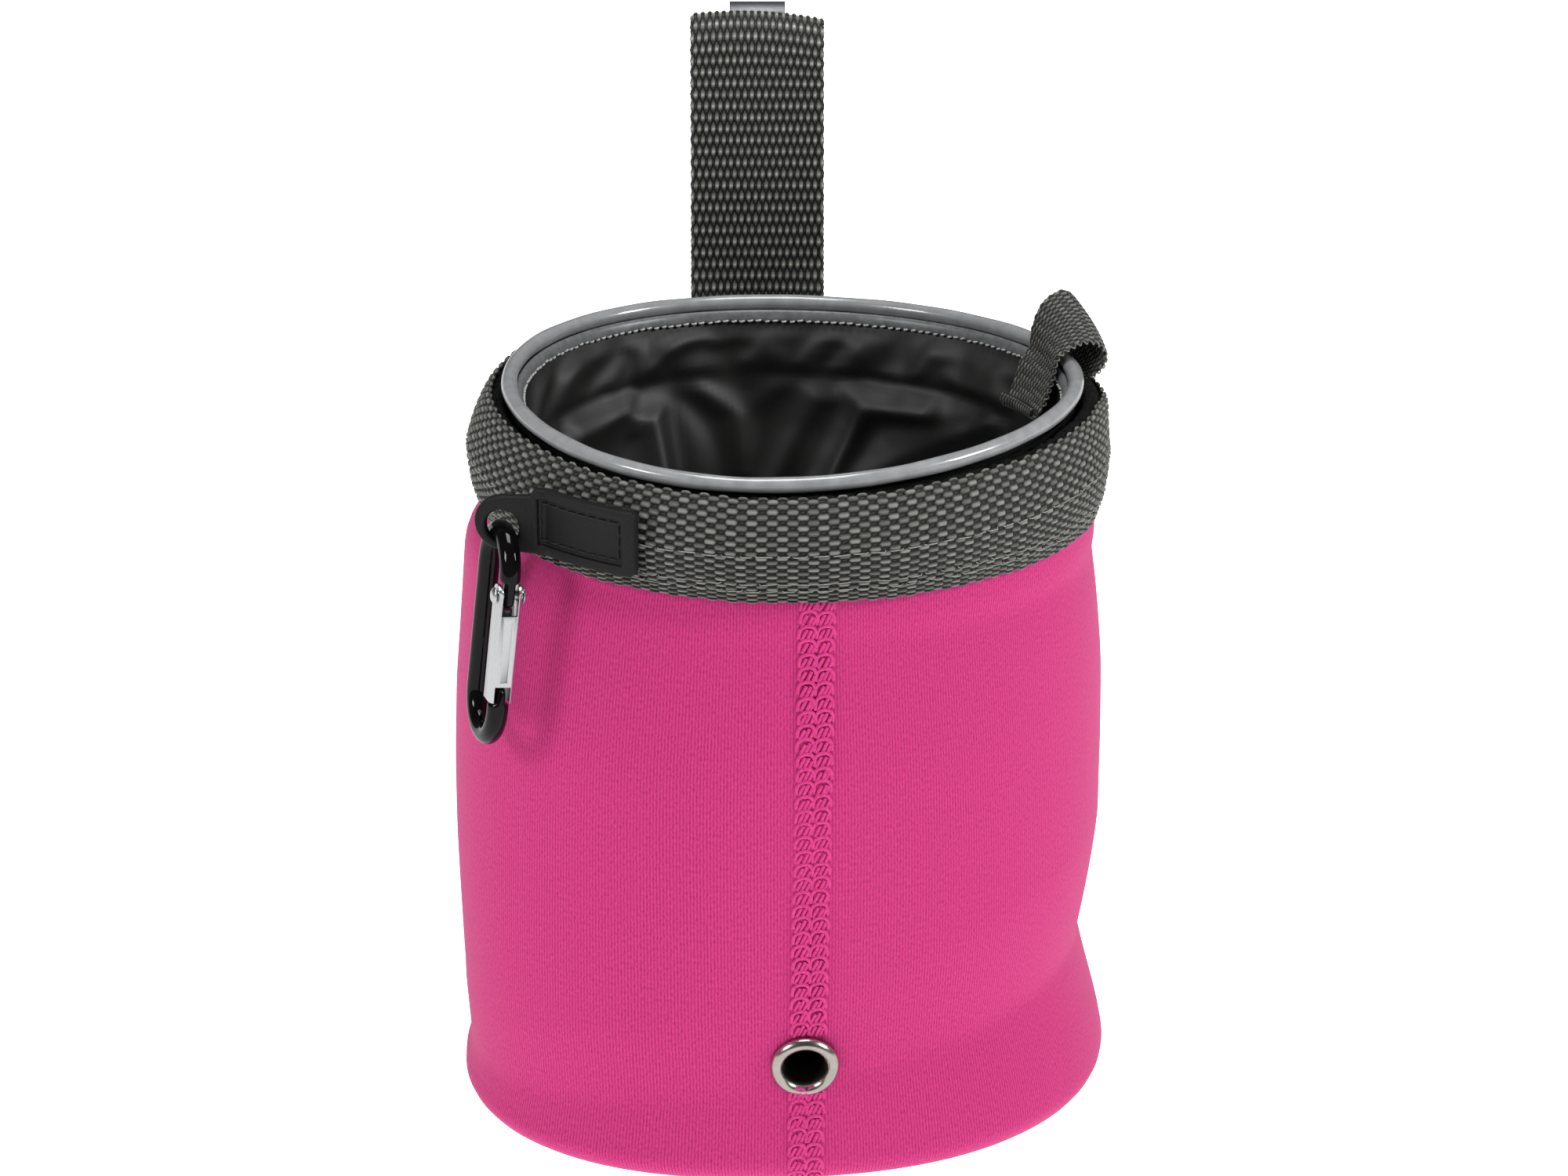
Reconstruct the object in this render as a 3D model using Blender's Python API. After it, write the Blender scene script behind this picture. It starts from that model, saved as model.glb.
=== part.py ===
"""Treat pouch: a neoprene outer bag, a lined inner bag on a stiff rim, a belt strap and a carabiner.

All sizes are in millimetres and are scaled to metres where vertices are made. The origin is the centre of
the base, +Z is up, and the front with its seam and eyelet faces -Y.
"""
import math

import bmesh
import bpy
from mathutils import Matrix, Vector

MM = 0.001
GAP = 0.3
RING_STEPS = 48
SMOOTH_ANGLE = math.radians(35)
PLAIN_TURN = Matrix.Identity(4)

# Plan of the bag: a skewed, squarish oval at the base that turns into an egg at the mouth
BASE_CENTRE = (0.0, 1.0)
BASE_DEPTH_RATIO = 0.98
BASE_SKEW = 0.07
BASE_SQUARENESS = 0.89
BODY_DRIFT = -1.0
BODY_DRIFT_HEIGHTS = (5.0, 30.0)
MOUTH_CENTRE = (1.5, -0.2)
MOUTH_DEPTH_RATIO = 0.965
MOUTH_EGG = 0.07
MOUTH_RADIUS = 49.4
MOUTH_SADDLE = 1.8
MOUTH_SADDLE_HEIGHTS = (108.0, 124.0)
PLAN_BLEND = (70.0, 104.0)
CENTRE_BLEND = (101.0, 113.0)

# Outer bag: height and outer radius at each level of the wall above the base's rounded corner
WALL = 3.0
BASE_RADIUS = 57.2
BASE_CORNER = 5.0
BASE_CORNER_STEPS = 4
BASE_RING_RADIUS = 48.0
SHELL_LEVELS = [(5, 57.2), (10, 56.8), (16, 56.3), (22, 56.1), (28, 56.2), (36, 56.5), (48, 56.9),
                (62, 57.1), (76, 56.9), (88, 56.0), (96, 55.3), (101, 54.8), (104.5, 54.0), (107, 51.9),
                (112, 53.3), (117, 54.2), (121, 53.7), (123.5, 52.7)]
SHELL_INNER_TOP = 1.4
SHELL_STRAIGHT_FROM = 104.5
WAIST_DEPTH = (0.6, 1.0, 1.6)
WAIST_HEIGHT = (17.5, 8.5)
WAIST_REACH = (17.0, 6.0)
WAIST_POWER = 1.3
FRONT_SPAN = (-135.0, -45.0)
FRONT_HALVINGS = 30

# Band round the mouth: height and distance outside the rim's centre line; its lower edge falls to the right
BAND_LEVELS = [(107.4, 5.1), (109.5, 5.7), (113, 6.7), (117, 7.0), (121, 6.6), (124, 5.9), (126.1, 5.3)]
BAND_THICKNESS = 1.4
BAND_LIFT = (-1.5, 0.8)
BAND_SIDE = 0.8
BAND_LIFT_HEIGHTS = (85.0, 107.0, 126.1)

# Hook-and-loop closure, lining and rim, as distances outside the rim's centre line
LOOP_TAPE = (0.55, 1.1)
LOOP_TAPE_HEIGHTS = (107.0, 123.0)
HOOK_TAPE = (-0.5, 0.2)
HOOK_TAPE_HEIGHTS = (108.0, 123.6)
LINING = (-1.6, -0.8)
LINER_TOP = 124.0
LINER_BOTTOM = 38.0
LINER_BASE_RADIUS = 46.0
LINER_BASE_THICKNESS = 1.0
LINER_STRAIGHT_FROM = 100.0
LINER_WAIST = (0.8, 70.0)
RIM_HEIGHT = 127.5
PIPING_RADIUS = 1.5
PIPING_BORE = 0.95
PIPING_MOUTH = (245.0, 205.0)
PIPING_STEPS = 7
PIPING_BORE_STEPS = 5
FLANGE = (-3.05, -2.65, -2.35, -1.95)
FLANGE_HEIGHTS = (117.0, 124.9)
FLANGE_SHOULDER = (0.4, 0.2)
HOOP_RADIUS = 0.6
HOOP_SIDES = 6

# Pull tab: its route over the rim, as distance outside the rim's centre line and height; its arch is lower
# towards the front
TAB_ANGLE = 17.0
TAB_WIDTH = 14.5
TAB_THICKNESS = 0.8
TAB_SLOT = 0.8
TAB_STEPS = 3
TAB_ROUTE = [(-0.15, 115.0), (-0.15, 122.4), (0.5, 124.0), (2.0, 125.3), (2.7, 127.4), (4.6, 129.6),
             (6.2, 132.0), (6.4, 134.6), (5.2, 137.0), (2.6, 138.3), (-0.4, 137.2), (-2.4, 134.0),
             (-3.3, 129.6), (-4.6, 125.0), (-5.6, 121.5), (-6.2, 118.5)]
TAB_ARCH_FROM = 129.5
TAB_ARCH_SHARES = (0.4, 0.98)

# Front seam and eyelet
SEAM_TOP_X = 5.7
SEAM_FOOT_X = 3.65
SEAM_WIDTH = 6.2
SEAM_THICKNESS = 0.6
SEAM_RISE = 0.35
SEAM_UPPER_LEVELS = [30.5, 36, 48, 62, 76, 88, 96, 101, 104.0]
SEAM_LOWER_LEVELS = [5.5, 10, 15.5]
EYELET_HEIGHT = 23.0
EYELET_STEPS = 24
EYELET_PROFILE = [(4.0, -5.5), (4.0, 0.9), (4.35, 1.4), (5.0, 1.65), (5.6, 1.4), (6.0, 0.95),
                  (5.95, 0.55), (4.3, 0.55), (4.3, -5.05), (5.3, -5.1), (5.3, -5.5)]
EYELET_HOLE = 4.7
EYELET_CUT = (-8.0, 4.0)
WASHER = (4.6, 6.3)
WASHER_DEPTHS = (-4.75, -4.35)

# Rubber label on the band, with the tab that carries the carabiner; angles are turns from the front
LABEL_START = -27.0
LABEL_END = -46.0
LABEL_OFFSET = 8.0
LABEL_HEIGHTS = (110.0, 122.2)
LABEL_THICKNESS = 1.9
LABEL_RECESS = 0.7
LABEL_BORDER = 2.0
LABEL_STEPS = 6
LABEL_STEP_EDGE = 0.3
LABEL_BORDER_MOST = 0.4
LABEL_STEP_MOST = 0.2
LABEL_TAB_NECK = 2.0
LABEL_TAB_LEANS = (25, 45, 62, 76, 85)
LABEL_TAB_FACING = -13.0
LABEL_TAB_LENGTH = 13.6
LABEL_TAB_RADIUS = 5.5
LABEL_HOLE_RADIUS = 3.7
LABEL_HOLE_HEIGHT = 116.3
LABEL_CUT = (-3.0, 6.0)

# Belt strap at the back
WEBBING_WIDTH = 24.5
STRAP_X = -4.8
STRAP_THICKNESS = 1.5
STRAP_FRONT_Y = 56.6
STRAP_BACK_Y = 64.4
STRAP_JOIN_Y = 58.5
STRAP_FOOT_Z = 128.6
STRAP_JOIN_Z = 134.0
STRAP_OPEN_Z = 142.0
STRAP_FOLD_Z = 173.4
STRAP_FOLD_STEPS = 8
STRAP_HINGE = (57.4, 128.5)
ANCHOR_OFFSET = 7.3
ANCHOR_THICKNESS = 1.6
ANCHOR_HEIGHTS = (108.0, 126.6)
ANCHOR_STEPS = 5

# Belt clip of spring steel
CLIP_WIDTH = 10.0
CLIP_THICKNESS = 0.9
CLIP_PLATE_Y = 65.95
CLIP_PLATE_FOOT_Z = 140.0
CLIP_BEND_Z = 173.2
CLIP_BEND_RADIUS = 3.5
CLIP_BEND_STEPS = 8
CLIP_LEG_TOE_Z = 140.0
CLIP_TOE_START = 2.0
CLIP_TOE_LEAN = 0.6
CLIP_TOE_FLARE = 4.0
CLIP_TOE_DROP = 3.5
CLIP_RIVET_HEIGHTS = {"clip_rivet_upper": 166.0, "clip_rivet_lower": 148.0}
CLIP_RIVET_SHANK = 1.1
CLIP_RIVET_HOLE = 1.4
CLIP_RIVET_HEAD = 2.3
CLIP_RIVET_HEAD_THICKNESS = 0.6
CLIP_RIVET_CROWN = 0.7
CLIP_CUT_PAST = 2.5
ROUND_STEPS = 16

# Carabiner: a stadium of round wire in its own plane, X to the gate and Z up, from the centre of its top arc
WIRE_RADIUS = 1.85
WIRE_SIDES = 10
ARC_RADIUS = 6.5
ARC_STEPS = 10
ARC_DROP = 23.3
CARABINER_TURN = 17.0
CARABINER_LEAN = 6.0
CARABINER_REST = 0.65
TONGUE_HALF = 1.05
PIVOT_DROP = 2.7
TONGUE_TIP = [(2.1, 0.9), (1.47, 1.5), (0.0, WIRE_RADIUS)]
UPPER_SHOULDER = -0.2
LOWER_SHOULDER = -22.1
SHOULDER_STEP = 0.25
NOSE_TIP = -19.1
NOSE_TAPER = [(0.8, 0.85, 1.0), (0.0, 0.55, 0.7)]
GATE_FOOT = -21.6
GATE_INNER_HALF = 1.5
GATE_SHEET = 0.6
GATE_DEPTHS = (4.5, 8.5)
GATE_WEB = (-5.9, -18.7)
GATE_CRIMP = (-14.0, -14.6)
GATE_ROUND_STEPS = 8
GATE_HOLE = 1.0
GATE_SLOT_HALF = 1.4
GATE_CUT_PAST = 1.0
PIVOT_CUT = (-5.0, 5.0)
RIVET_SHANK = 0.75
RIVET_HEAD = 1.45
RIVET_HEAD_THICKNESS = 0.6
RIVET_EDGE = 0.2
RIVET_CROWN = 0.6
PLUNGER_RADIUS = 0.95
PLUNGER_STEM = 0.4
PLUNGER_HEIGHTS = (-5.2, -6.5, -9.1)
SPRING_X = 6.3
SPRING_RADIUS = 0.95
SPRING_WIRE = 0.16
SPRING_WIRE_SIDES = 6
SPRING_HEIGHTS = (-6.9, -13.6)
SPRING_CURLS = 7
SPRING_CURL_POINTS = 10


# Scene helpers

def clear_scene():
    """Remove every object that the file starts with."""
    for item in list(bpy.data.objects):
        bpy.data.objects.remove(item, do_unlink=True)


def material(name, colour, roughness, metallic=0.0):
    """Plain finish of one piece."""
    made = bpy.data.materials.new(name)
    made.use_nodes = True
    shader = made.node_tree.nodes["Principled BSDF"]
    shader.inputs["Base Color"].default_value = (*colour, 1.0)
    shader.inputs["Roughness"].default_value = roughness
    shader.inputs["Metallic"].default_value = metallic
    return made


def frame(name, place, turn=PLAIN_TURN, parent=None):
    """Empty that carries the pieces of one moving body, with its origin on the joint's axis."""
    empty = bpy.data.objects.new(name, None)
    bpy.context.collection.objects.link(empty)
    world = Matrix.Translation(Vector(place) * MM) @ turn
    if parent:
        empty.parent = parent
        empty.matrix_parent_inverse = parent.matrix_world.inverted()
    empty.matrix_world = world
    bpy.context.view_layer.update()
    return empty


def piece(name, mesh_builder, finish, carrier, local=False):
    """Named solid carried by a frame; its points are world places unless they are local to the frame."""
    data = bpy.data.meshes.new(name)
    if not local:
        mesh_builder.transform(carrier.matrix_world.inverted())
    mesh_builder.to_mesh(data)
    mesh_builder.free()
    data.shade_smooth()
    data.set_sharp_from_angle(angle=SMOOTH_ANGLE)
    data.materials.append(finish)
    item = bpy.data.objects.new(name, data)
    bpy.context.collection.objects.link(item)
    item.parent = carrier
    return item


def cut(target, name, cutter_builder, local=False):
    """Cut a hidden tool's shape out of a piece."""
    tool = piece(name, cutter_builder, target.data.materials[0], target.parent, local)
    tool.hide_render = True
    tool.display_type = 'WIRE'
    boolean = target.modifiers.new(name, 'BOOLEAN')
    boolean.operation = 'DIFFERENCE'
    boolean.solver = 'EXACT'
    boolean.object = tool


# Shape helpers

def smooth_step(low, high, value):
    """Ease from 0 below low to 1 above high."""
    t = min(max((value - low) / (high - low), 0.0), 1.0)
    return t * t * (3 - 2 * t)


def mix(first, second, share):
    return first + (second - first) * share


def sweep(outlines, closed=False):
    """Solid through matching outlines; a closed one joins its last outline to its first."""
    builder = bmesh.new()
    rings = [[builder.verts.new(Vector(place) * MM) for place in outline] for outline in outlines]
    followers = rings[1:] + rings[:1] if closed else rings[1:]
    for ring, follower in zip(rings, followers):
        for i in range(len(ring)):
            j = (i + 1) % len(ring)
            builder.faces.new((ring[i], ring[j], follower[j], follower[i]))
    if not closed:
        builder.faces.new(rings[0])
        builder.faces.new(rings[-1])
    bmesh.ops.recalc_face_normals(builder, faces=builder.faces)
    return builder


def extruded(outline, low, high, place):
    """Prism of a flat outline; place gives the position of an outline point at a distance along the prism."""
    return sweep([[place(low, point) for point in outline], [place(high, point) for point in outline]])


def circle(radius, steps, start=0.0):
    turns = [start + 2 * math.pi * i / steps for i in range(steps)]
    return [(radius * math.cos(turn), radius * math.sin(turn)) for turn in turns]


def arc(centre, radius, start, end, steps):
    """Points of an arc between two angles in degrees, both ends included."""
    turns = [math.radians(mix(start, end, i / steps)) for i in range(steps + 1)]
    return [(centre[0] + radius * math.cos(turn), centre[1] + radius * math.sin(turn)) for turn in turns]


def thick_line(route, thickness):
    """Closed outline of a strip that follows a route, half its thickness to each side."""
    left = []
    right = []
    for i, place in enumerate(route):
        before = Vector(route[max(i - 1, 0)])
        after = Vector(route[min(i + 1, len(route) - 1)])
        along = (after - before).normalized()
        across = Vector((-along.y, along.x)) * thickness / 2
        left.append(tuple(Vector(place) + across))
        right.append(tuple(Vector(place) - across))
    return left + right[::-1]


def ring_turns(steps=RING_STEPS):
    return [2 * math.pi * i / steps for i in range(steps)]


def squared(value, power):
    """Sine or cosine pushed outwards, which squares an oval."""
    return math.copysign(abs(value) ** power, value)


def bag_point(radius, turn, z):
    """Place on the bag's oval of one radius; the plan changes from base to mouth with height."""
    share = smooth_step(*PLAN_BLEND, z)
    drift = BODY_DRIFT * smooth_step(*BODY_DRIFT_HEIGHTS, z)
    moved = smooth_step(*CENTRE_BLEND, z)
    centre_x = mix(BASE_CENTRE[0] + drift, MOUTH_CENTRE[0], moved)
    centre_y = mix(BASE_CENTRE[1], MOUTH_CENTRE[1], moved)
    depth = radius * mix(BASE_DEPTH_RATIO, MOUTH_DEPTH_RATIO, share)
    egg = MOUTH_EGG * share
    skew = BASE_SKEW * (1 - share)
    power = mix(BASE_SQUARENESS, 1.0, smooth_step(0.0, PLAN_BLEND[1], z))
    x = radius * squared(math.cos(turn), power)
    y = depth * (1 - egg * math.cos(turn)) * squared(math.sin(turn), power) + skew * x
    return (centre_x + x, centre_y + y, z)


def mouth_point(offset, turn, z):
    """Place at a distance outside the rim's centre line; the mouth rises a little at its left and right."""
    x, y, _ = bag_point(MOUTH_RADIUS + offset, turn, RIM_HEIGHT)
    saddle = MOUTH_SADDLE * math.cos(turn) ** 2 * smooth_step(*MOUTH_SADDLE_HEIGHTS, z)
    return (x, y, z + saddle)


def mouth_ring(section):
    """Solid ring of one section of distances and heights, round the whole mouth."""
    return sweep([[mouth_point(d, turn, z) for d, z in section] for turn in ring_turns()], closed=True)


def box_section(distances, heights):
    return [(distances[0], heights[0]), (distances[1], heights[0]), (distances[1], heights[1]),
            (distances[0], heights[1])]


# Outer bag

def waist_dip(turn, z):
    """How far the wall draws in at the waist, most on the right."""
    side = math.cos(turn)
    depth = WAIST_DEPTH[0] + WAIST_DEPTH[1] * side + WAIST_DEPTH[2] * side * side
    height = WAIST_HEIGHT[0] + WAIST_HEIGHT[1] * side
    reach = WAIST_REACH[0] + WAIST_REACH[1] * side
    return depth * max(0.0, 1 - abs(z - height) / reach) ** WAIST_POWER


def band_lift(turn, z):
    """How far the band's lower edge, and the wall under it, is raised or lowered round the mouth."""
    low, edge, high = BAND_LIFT_HEIGHTS
    share = (z - low) / (edge - low) if z < edge else (high - z) / (high - edge)
    side = math.cos(turn)
    return (BAND_LIFT[0] * side + BAND_LIFT[1] * side * side) * min(max(share, 0.0), 1.0)


def shell_outline(turn):
    """Section of the outer bag's wall, from its base ring round the corner to the mouth and back inside."""
    corner = arc((BASE_RADIUS - BASE_CORNER, BASE_CORNER), BASE_CORNER, -90, 0, BASE_CORNER_STEPS)[:-1]
    outside = [(BASE_RING_RADIUS, 0.0)] + corner
    places = [bag_point(radius, turn, z) for radius, z in outside]
    for z, radius in SHELL_LEVELS:
        height = z + band_lift(turn, z)
        if z <= SHELL_STRAIGHT_FROM:
            places.append(bag_point(radius - waist_dip(turn, z), turn, height))
        else:
            places.append(mouth_point(radius - MOUTH_RADIUS, turn, height))
    top = SHELL_LEVELS[-1][0]
    places += [mouth_point(SHELL_INNER_TOP, turn, z) for z in (top, SHELL_STRAIGHT_FROM)]
    for z, radius in reversed(SHELL_LEVELS):
        if BASE_CORNER < z < SHELL_STRAIGHT_FROM:
            places.append(bag_point(radius - WALL - waist_dip(turn, z), turn, z))
    places.append(bag_point(BASE_RADIUS - BASE_CORNER, turn, WALL))
    places.append(bag_point(BASE_RING_RADIUS, turn, WALL))
    return places


def shell_radius(z):
    """Outer radius of the wall between its levels."""
    for (low, first), (high, second) in zip(SHELL_LEVELS, SHELL_LEVELS[1:]):
        if low <= z <= high:
            return mix(first, second, (z - low) / (high - low))
    return SHELL_LEVELS[0][1]


def front_turn(x, z):
    """Angle at which the front wall has one X, found by halving the range round the front."""
    low, high = (math.radians(end) for end in FRONT_SPAN)
    for _ in range(FRONT_HALVINGS):
        middle = (low + high) / 2
        if bag_point(shell_radius(z), middle, z)[0] < x:
            low = middle
        else:
            high = middle
    return (low + high) / 2


def eyelet_frame():
    """Middle of the eyelet on the outside of the wall, and the way it faces."""
    turn = front_turn(SEAM_FOOT_X, EYELET_HEIGHT)
    radius = shell_radius(EYELET_HEIGHT) - waist_dip(turn, EYELET_HEIGHT)
    middle = Vector(bag_point(radius, turn, EYELET_HEIGHT))
    outward = Vector((math.cos(turn), math.sin(turn), 0.0))
    return middle, outward


def eyelet_ring(profile):
    """Turned ring about the eyelet's axis, from radii and distances outside the wall."""
    middle, outward = eyelet_frame()
    across = Vector((0, 0, 1)).cross(outward)
    outlines = []
    for turn in ring_turns(EYELET_STEPS):
        radial = across * math.cos(turn) + Vector((0, 0, 1)) * math.sin(turn)
        outlines.append([middle + radial * r + outward * n for r, n in profile])
    return sweep(outlines, closed=True)


def eyelet_cutter():
    middle, outward = eyelet_frame()
    across = Vector((0, 0, 1)).cross(outward)
    outline = circle(EYELET_HOLE, EYELET_STEPS)
    place = lambda n, p: middle + outward * n + across * p[0] + Vector((0, 0, p[1]))
    return extruded(outline, *EYELET_CUT, place)


def seam_strip(levels):
    """Thread cover that lies on the front wall over the seam."""
    outlines = []
    for z in levels:
        share = z / BAND_LEVELS[0][0]
        x = mix(SEAM_FOOT_X, SEAM_TOP_X, share)
        turns = [front_turn(x + side * SEAM_WIDTH / 2, z) for side in (-1, 0, 1)]
        near = [shell_radius(z) - waist_dip(turn, z) + SEAM_RISE for turn in turns]
        heights = [z + band_lift(turn, z) for turn in turns]
        under = [bag_point(*place) for place in zip(near, turns, heights)]
        over = [bag_point(r + SEAM_THICKNESS, turn, h) for r, turn, h in zip(near, turns, heights)]
        outlines.append(under + over[::-1])
    return sweep(outlines)


def band_outline(turn):
    """Section of the webbing band, bulged over the thick mouth."""
    side = BAND_SIDE * math.cos(turn)
    outside = [(d - side, z + band_lift(turn, z)) for z, d in BAND_LEVELS]
    inside = [(d - BAND_THICKNESS, z) for d, z in outside]
    return [mouth_point(d, turn, z) for d, z in outside + inside[::-1]]


def label_path():
    """Stations of the label: place of its back face, way it faces, half height and depth of its recess."""
    low, high = LABEL_HEIGHTS
    middle = (low + high) / 2
    half = (high - low) / 2
    arc_length = math.radians(abs(LABEL_END - LABEL_START)) * (MOUTH_RADIUS + LABEL_OFFSET)
    border = LABEL_BORDER / arc_length
    edge = LABEL_STEP_EDGE / arc_length
    shares = [0, border, border + edge]
    shares += [mix(border + edge, 1 - border - edge, i / LABEL_STEPS) for i in range(1, LABEL_STEPS)]
    shares += [1 - border - edge, 1 - border, 1]
    stations = []
    for share in shares:
        facing = math.radians(mix(LABEL_START, LABEL_END, share) - 90)
        inside = border < share < 1 - border
        depth = LABEL_RECESS if inside else 0.0
        stations.append((Vector(mouth_point(LABEL_OFFSET, facing, middle)), facing, half, depth))
    start = stations[-1][0]
    facing = math.radians(LABEL_TAB_FACING - 90)
    along = Vector((math.sin(facing), -math.cos(facing), 0))
    drop = Vector((0, 0, LABEL_HOLE_HEIGHT - middle))
    round_from = LABEL_TAB_LENGTH - LABEL_TAB_RADIUS
    for reach in (LABEL_TAB_NECK, round_from):
        height = mix(half, LABEL_TAB_RADIUS, reach / round_from)
        stations.append((start + along * reach + drop * reach / round_from, facing, height, 0.0))
    for lean in LABEL_TAB_LEANS:
        reach = round_from + LABEL_TAB_RADIUS * math.sin(math.radians(lean))
        height = LABEL_TAB_RADIUS * math.cos(math.radians(lean))
        stations.append((start + along * reach + drop, facing, height, 0.0))
    hole = start + along * round_from + drop
    return stations, hole, facing


def label_solid():
    stations, _, _ = label_path()
    outlines = []
    for back, facing, half, depth in stations:
        outward = Vector((math.cos(facing), math.sin(facing), 0))
        border = min(LABEL_BORDER, half * LABEL_BORDER_MOST)
        step = min(LABEL_STEP_EDGE, half * LABEL_STEP_MOST)
        floor = LABEL_THICKNESS - depth
        section = [(0, -half), (LABEL_THICKNESS, -half), (LABEL_THICKNESS, border - half),
                   (floor, border + step - half), (floor, half - border - step),
                   (LABEL_THICKNESS, half - border), (LABEL_THICKNESS, half), (0, half)]
        outlines.append([back + outward * d + Vector((0, 0, z)) for d, z in section])
    return sweep(outlines)


def label_hole_cutter():
    _, hole, facing = label_path()
    outward = Vector((math.cos(facing), math.sin(facing), 0))
    across = Vector((-outward.y, outward.x, 0))
    outline = circle(LABEL_HOLE_RADIUS, ROUND_STEPS)
    place = lambda n, p: hole + outward * n + across * p[0] + Vector((0, 0, p[1]))
    return extruded(outline, *LABEL_CUT, place)


def anchor_solid():
    """Sewn foot of the strap, curved along the band."""
    half = WEBBING_WIDTH / 2
    outlines = []
    for i in range(ANCHOR_STEPS + 1):
        x = STRAP_X + mix(-half, half, i / ANCHOR_STEPS)
        turn = math.acos((x - MOUTH_CENTRE[0]) / (MOUTH_RADIUS + ANCHOR_OFFSET))
        section = box_section((ANCHOR_OFFSET, ANCHOR_OFFSET + ANCHOR_THICKNESS), ANCHOR_HEIGHTS)
        outlines.append([mouth_point(d, turn, z) for d, z in section])
    return sweep(outlines)


def build_outer_bag(carrier):
    pink = material("pink neoprene", (0.61, 0.045, 0.2), 0.8)
    grey = material("grey webbing", (0.085, 0.085, 0.078), 0.85)
    black = material("black loop tape", (0.012, 0.012, 0.012), 0.95)
    rubber = material("black moulded rubber", (0.02, 0.02, 0.021), 0.55)
    nickel = material("nickel plate", (0.62, 0.58, 0.54), 0.28, 1.0)

    shell = piece("outer_shell", sweep([shell_outline(t) for t in ring_turns()], closed=True), pink, carrier)
    cut(shell, "eyelet_hole_cutter", eyelet_cutter())
    rim = [[bag_point(BASE_RING_RADIUS - GAP, t, z) for t in ring_turns()] for z in (0.0, WALL)]
    piece("base_panel", sweep(rim), pink, carrier)
    piece("front_seam_upper", seam_strip(SEAM_UPPER_LEVELS), pink, carrier)
    piece("front_seam_lower", seam_strip(SEAM_LOWER_LEVELS), pink, carrier)
    piece("top_band", sweep([band_outline(t) for t in ring_turns()], closed=True), grey, carrier)
    piece("loop_tape", mouth_ring(box_section(LOOP_TAPE, LOOP_TAPE_HEIGHTS)), black, carrier)
    label = piece("label_patch", label_solid(), rubber, carrier)
    cut(label, "label_hole_cutter", label_hole_cutter())
    piece("eyelet", eyelet_ring(EYELET_PROFILE), nickel, carrier)
    piece("eyelet_washer", eyelet_ring(box_section(WASHER, WASHER_DEPTHS)), nickel, carrier)
    piece("strap_anchor", anchor_solid(), grey, carrier)


# Inner bag

def piping_section():
    """Piping strip folded round the hoop: its tube, and its two plies side by side as the sewing flange."""
    low, high = FLANGE_HEIGHTS
    centre = (0.0, RIM_HEIGHT)
    start, end = PIPING_MOUTH
    outside = arc(centre, PIPING_RADIUS, start, end + 360, PIPING_STEPS)
    bore = arc(centre, PIPING_BORE, end + 360, start, PIPING_BORE_STEPS)
    outer_shoulder, inner_shoulder = (high + rise for rise in FLANGE_SHOULDER)
    inner_ply = [(FLANGE[0], outer_shoulder), (FLANGE[0], low), (FLANGE[1], low), (FLANGE[1], inner_shoulder)]
    outer_ply = [(FLANGE[2], high), (FLANGE[2], low), (FLANGE[3], low), (FLANGE[3], high)]
    return outside + inner_ply + bore + outer_ply


def liner_section():
    """Wall of the inner bag, drawn in a little towards its base."""
    inner, outer = LINING
    draw_in = LINER_BASE_RADIUS - MOUTH_RADIUS
    foot = LINER_BOTTOM + LINER_BASE_THICKNESS + GAP
    waist, waist_height = LINER_WAIST
    outside = [(outer, LINER_TOP), (outer, LINER_STRAIGHT_FROM), (outer - waist, waist_height)]
    outside.append((draw_in, foot))
    return outside + [(d + inner - outer, z) for d, z in reversed(outside)]


def hook_tape_solid():
    """Hook tape round the inner bag, open where the pull tab is sewn in."""
    middle = math.radians(TAB_ANGLE)
    slot = (TAB_WIDTH / 2 + TAB_SLOT) / MOUTH_RADIUS
    section = box_section(HOOK_TAPE, HOOK_TAPE_HEIGHTS)
    turns = [mix(middle + slot, middle - slot + 2 * math.pi, i / RING_STEPS) for i in range(RING_STEPS + 1)]
    return sweep([[mouth_point(d, turn, z) for d, z in section] for turn in turns])


def pull_tab_solid():
    """Webbing loop over the rim, curved along it."""
    middle = math.radians(TAB_ANGLE)
    half = TAB_WIDTH / 2 / MOUTH_RADIUS
    outlines = []
    for i in range(TAB_STEPS + 1):
        turn = middle + mix(-half, half, i / TAB_STEPS)
        arch = mix(*TAB_ARCH_SHARES, i / TAB_STEPS)
        route = [(d, z + (arch - 1) * max(z - TAB_ARCH_FROM, 0.0)) for d, z in TAB_ROUTE]
        outlines.append([mouth_point(d, turn, z) for d, z in thick_line(route, TAB_THICKNESS)])
    return sweep(outlines)


def build_inner_bag(carrier):
    black = material("black lining", (0.015, 0.015, 0.016), 0.5)
    hook = material("black hook tape", (0.012, 0.012, 0.012), 0.9)
    silver = material("silver piping", (0.34, 0.35, 0.36), 0.3)
    steel = material("hoop steel", (0.55, 0.55, 0.55), 0.4, 1.0)
    grey = material("grey tab webbing", (0.085, 0.085, 0.078), 0.85)

    piece("liner_bag", mouth_ring(liner_section()), black, carrier)
    heights = (LINER_BOTTOM, LINER_BOTTOM + LINER_BASE_THICKNESS)
    disc = [[mouth_point(LINER_BASE_RADIUS - MOUTH_RADIUS, t, z) for t in ring_turns()] for z in heights]
    piece("liner_base", sweep(disc), black, carrier)
    piece("hook_tape", hook_tape_solid(), hook, carrier)
    piece("rim_piping", mouth_ring(piping_section()), silver, carrier)
    hoop = [(d, RIM_HEIGHT + z) for d, z in circle(HOOP_RADIUS, HOOP_SIDES)]
    piece("rim_hoop", mouth_ring(hoop), steel, carrier)
    piece("pull_tab", pull_tab_solid(), grey, carrier)


# Belt strap and clip

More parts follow.
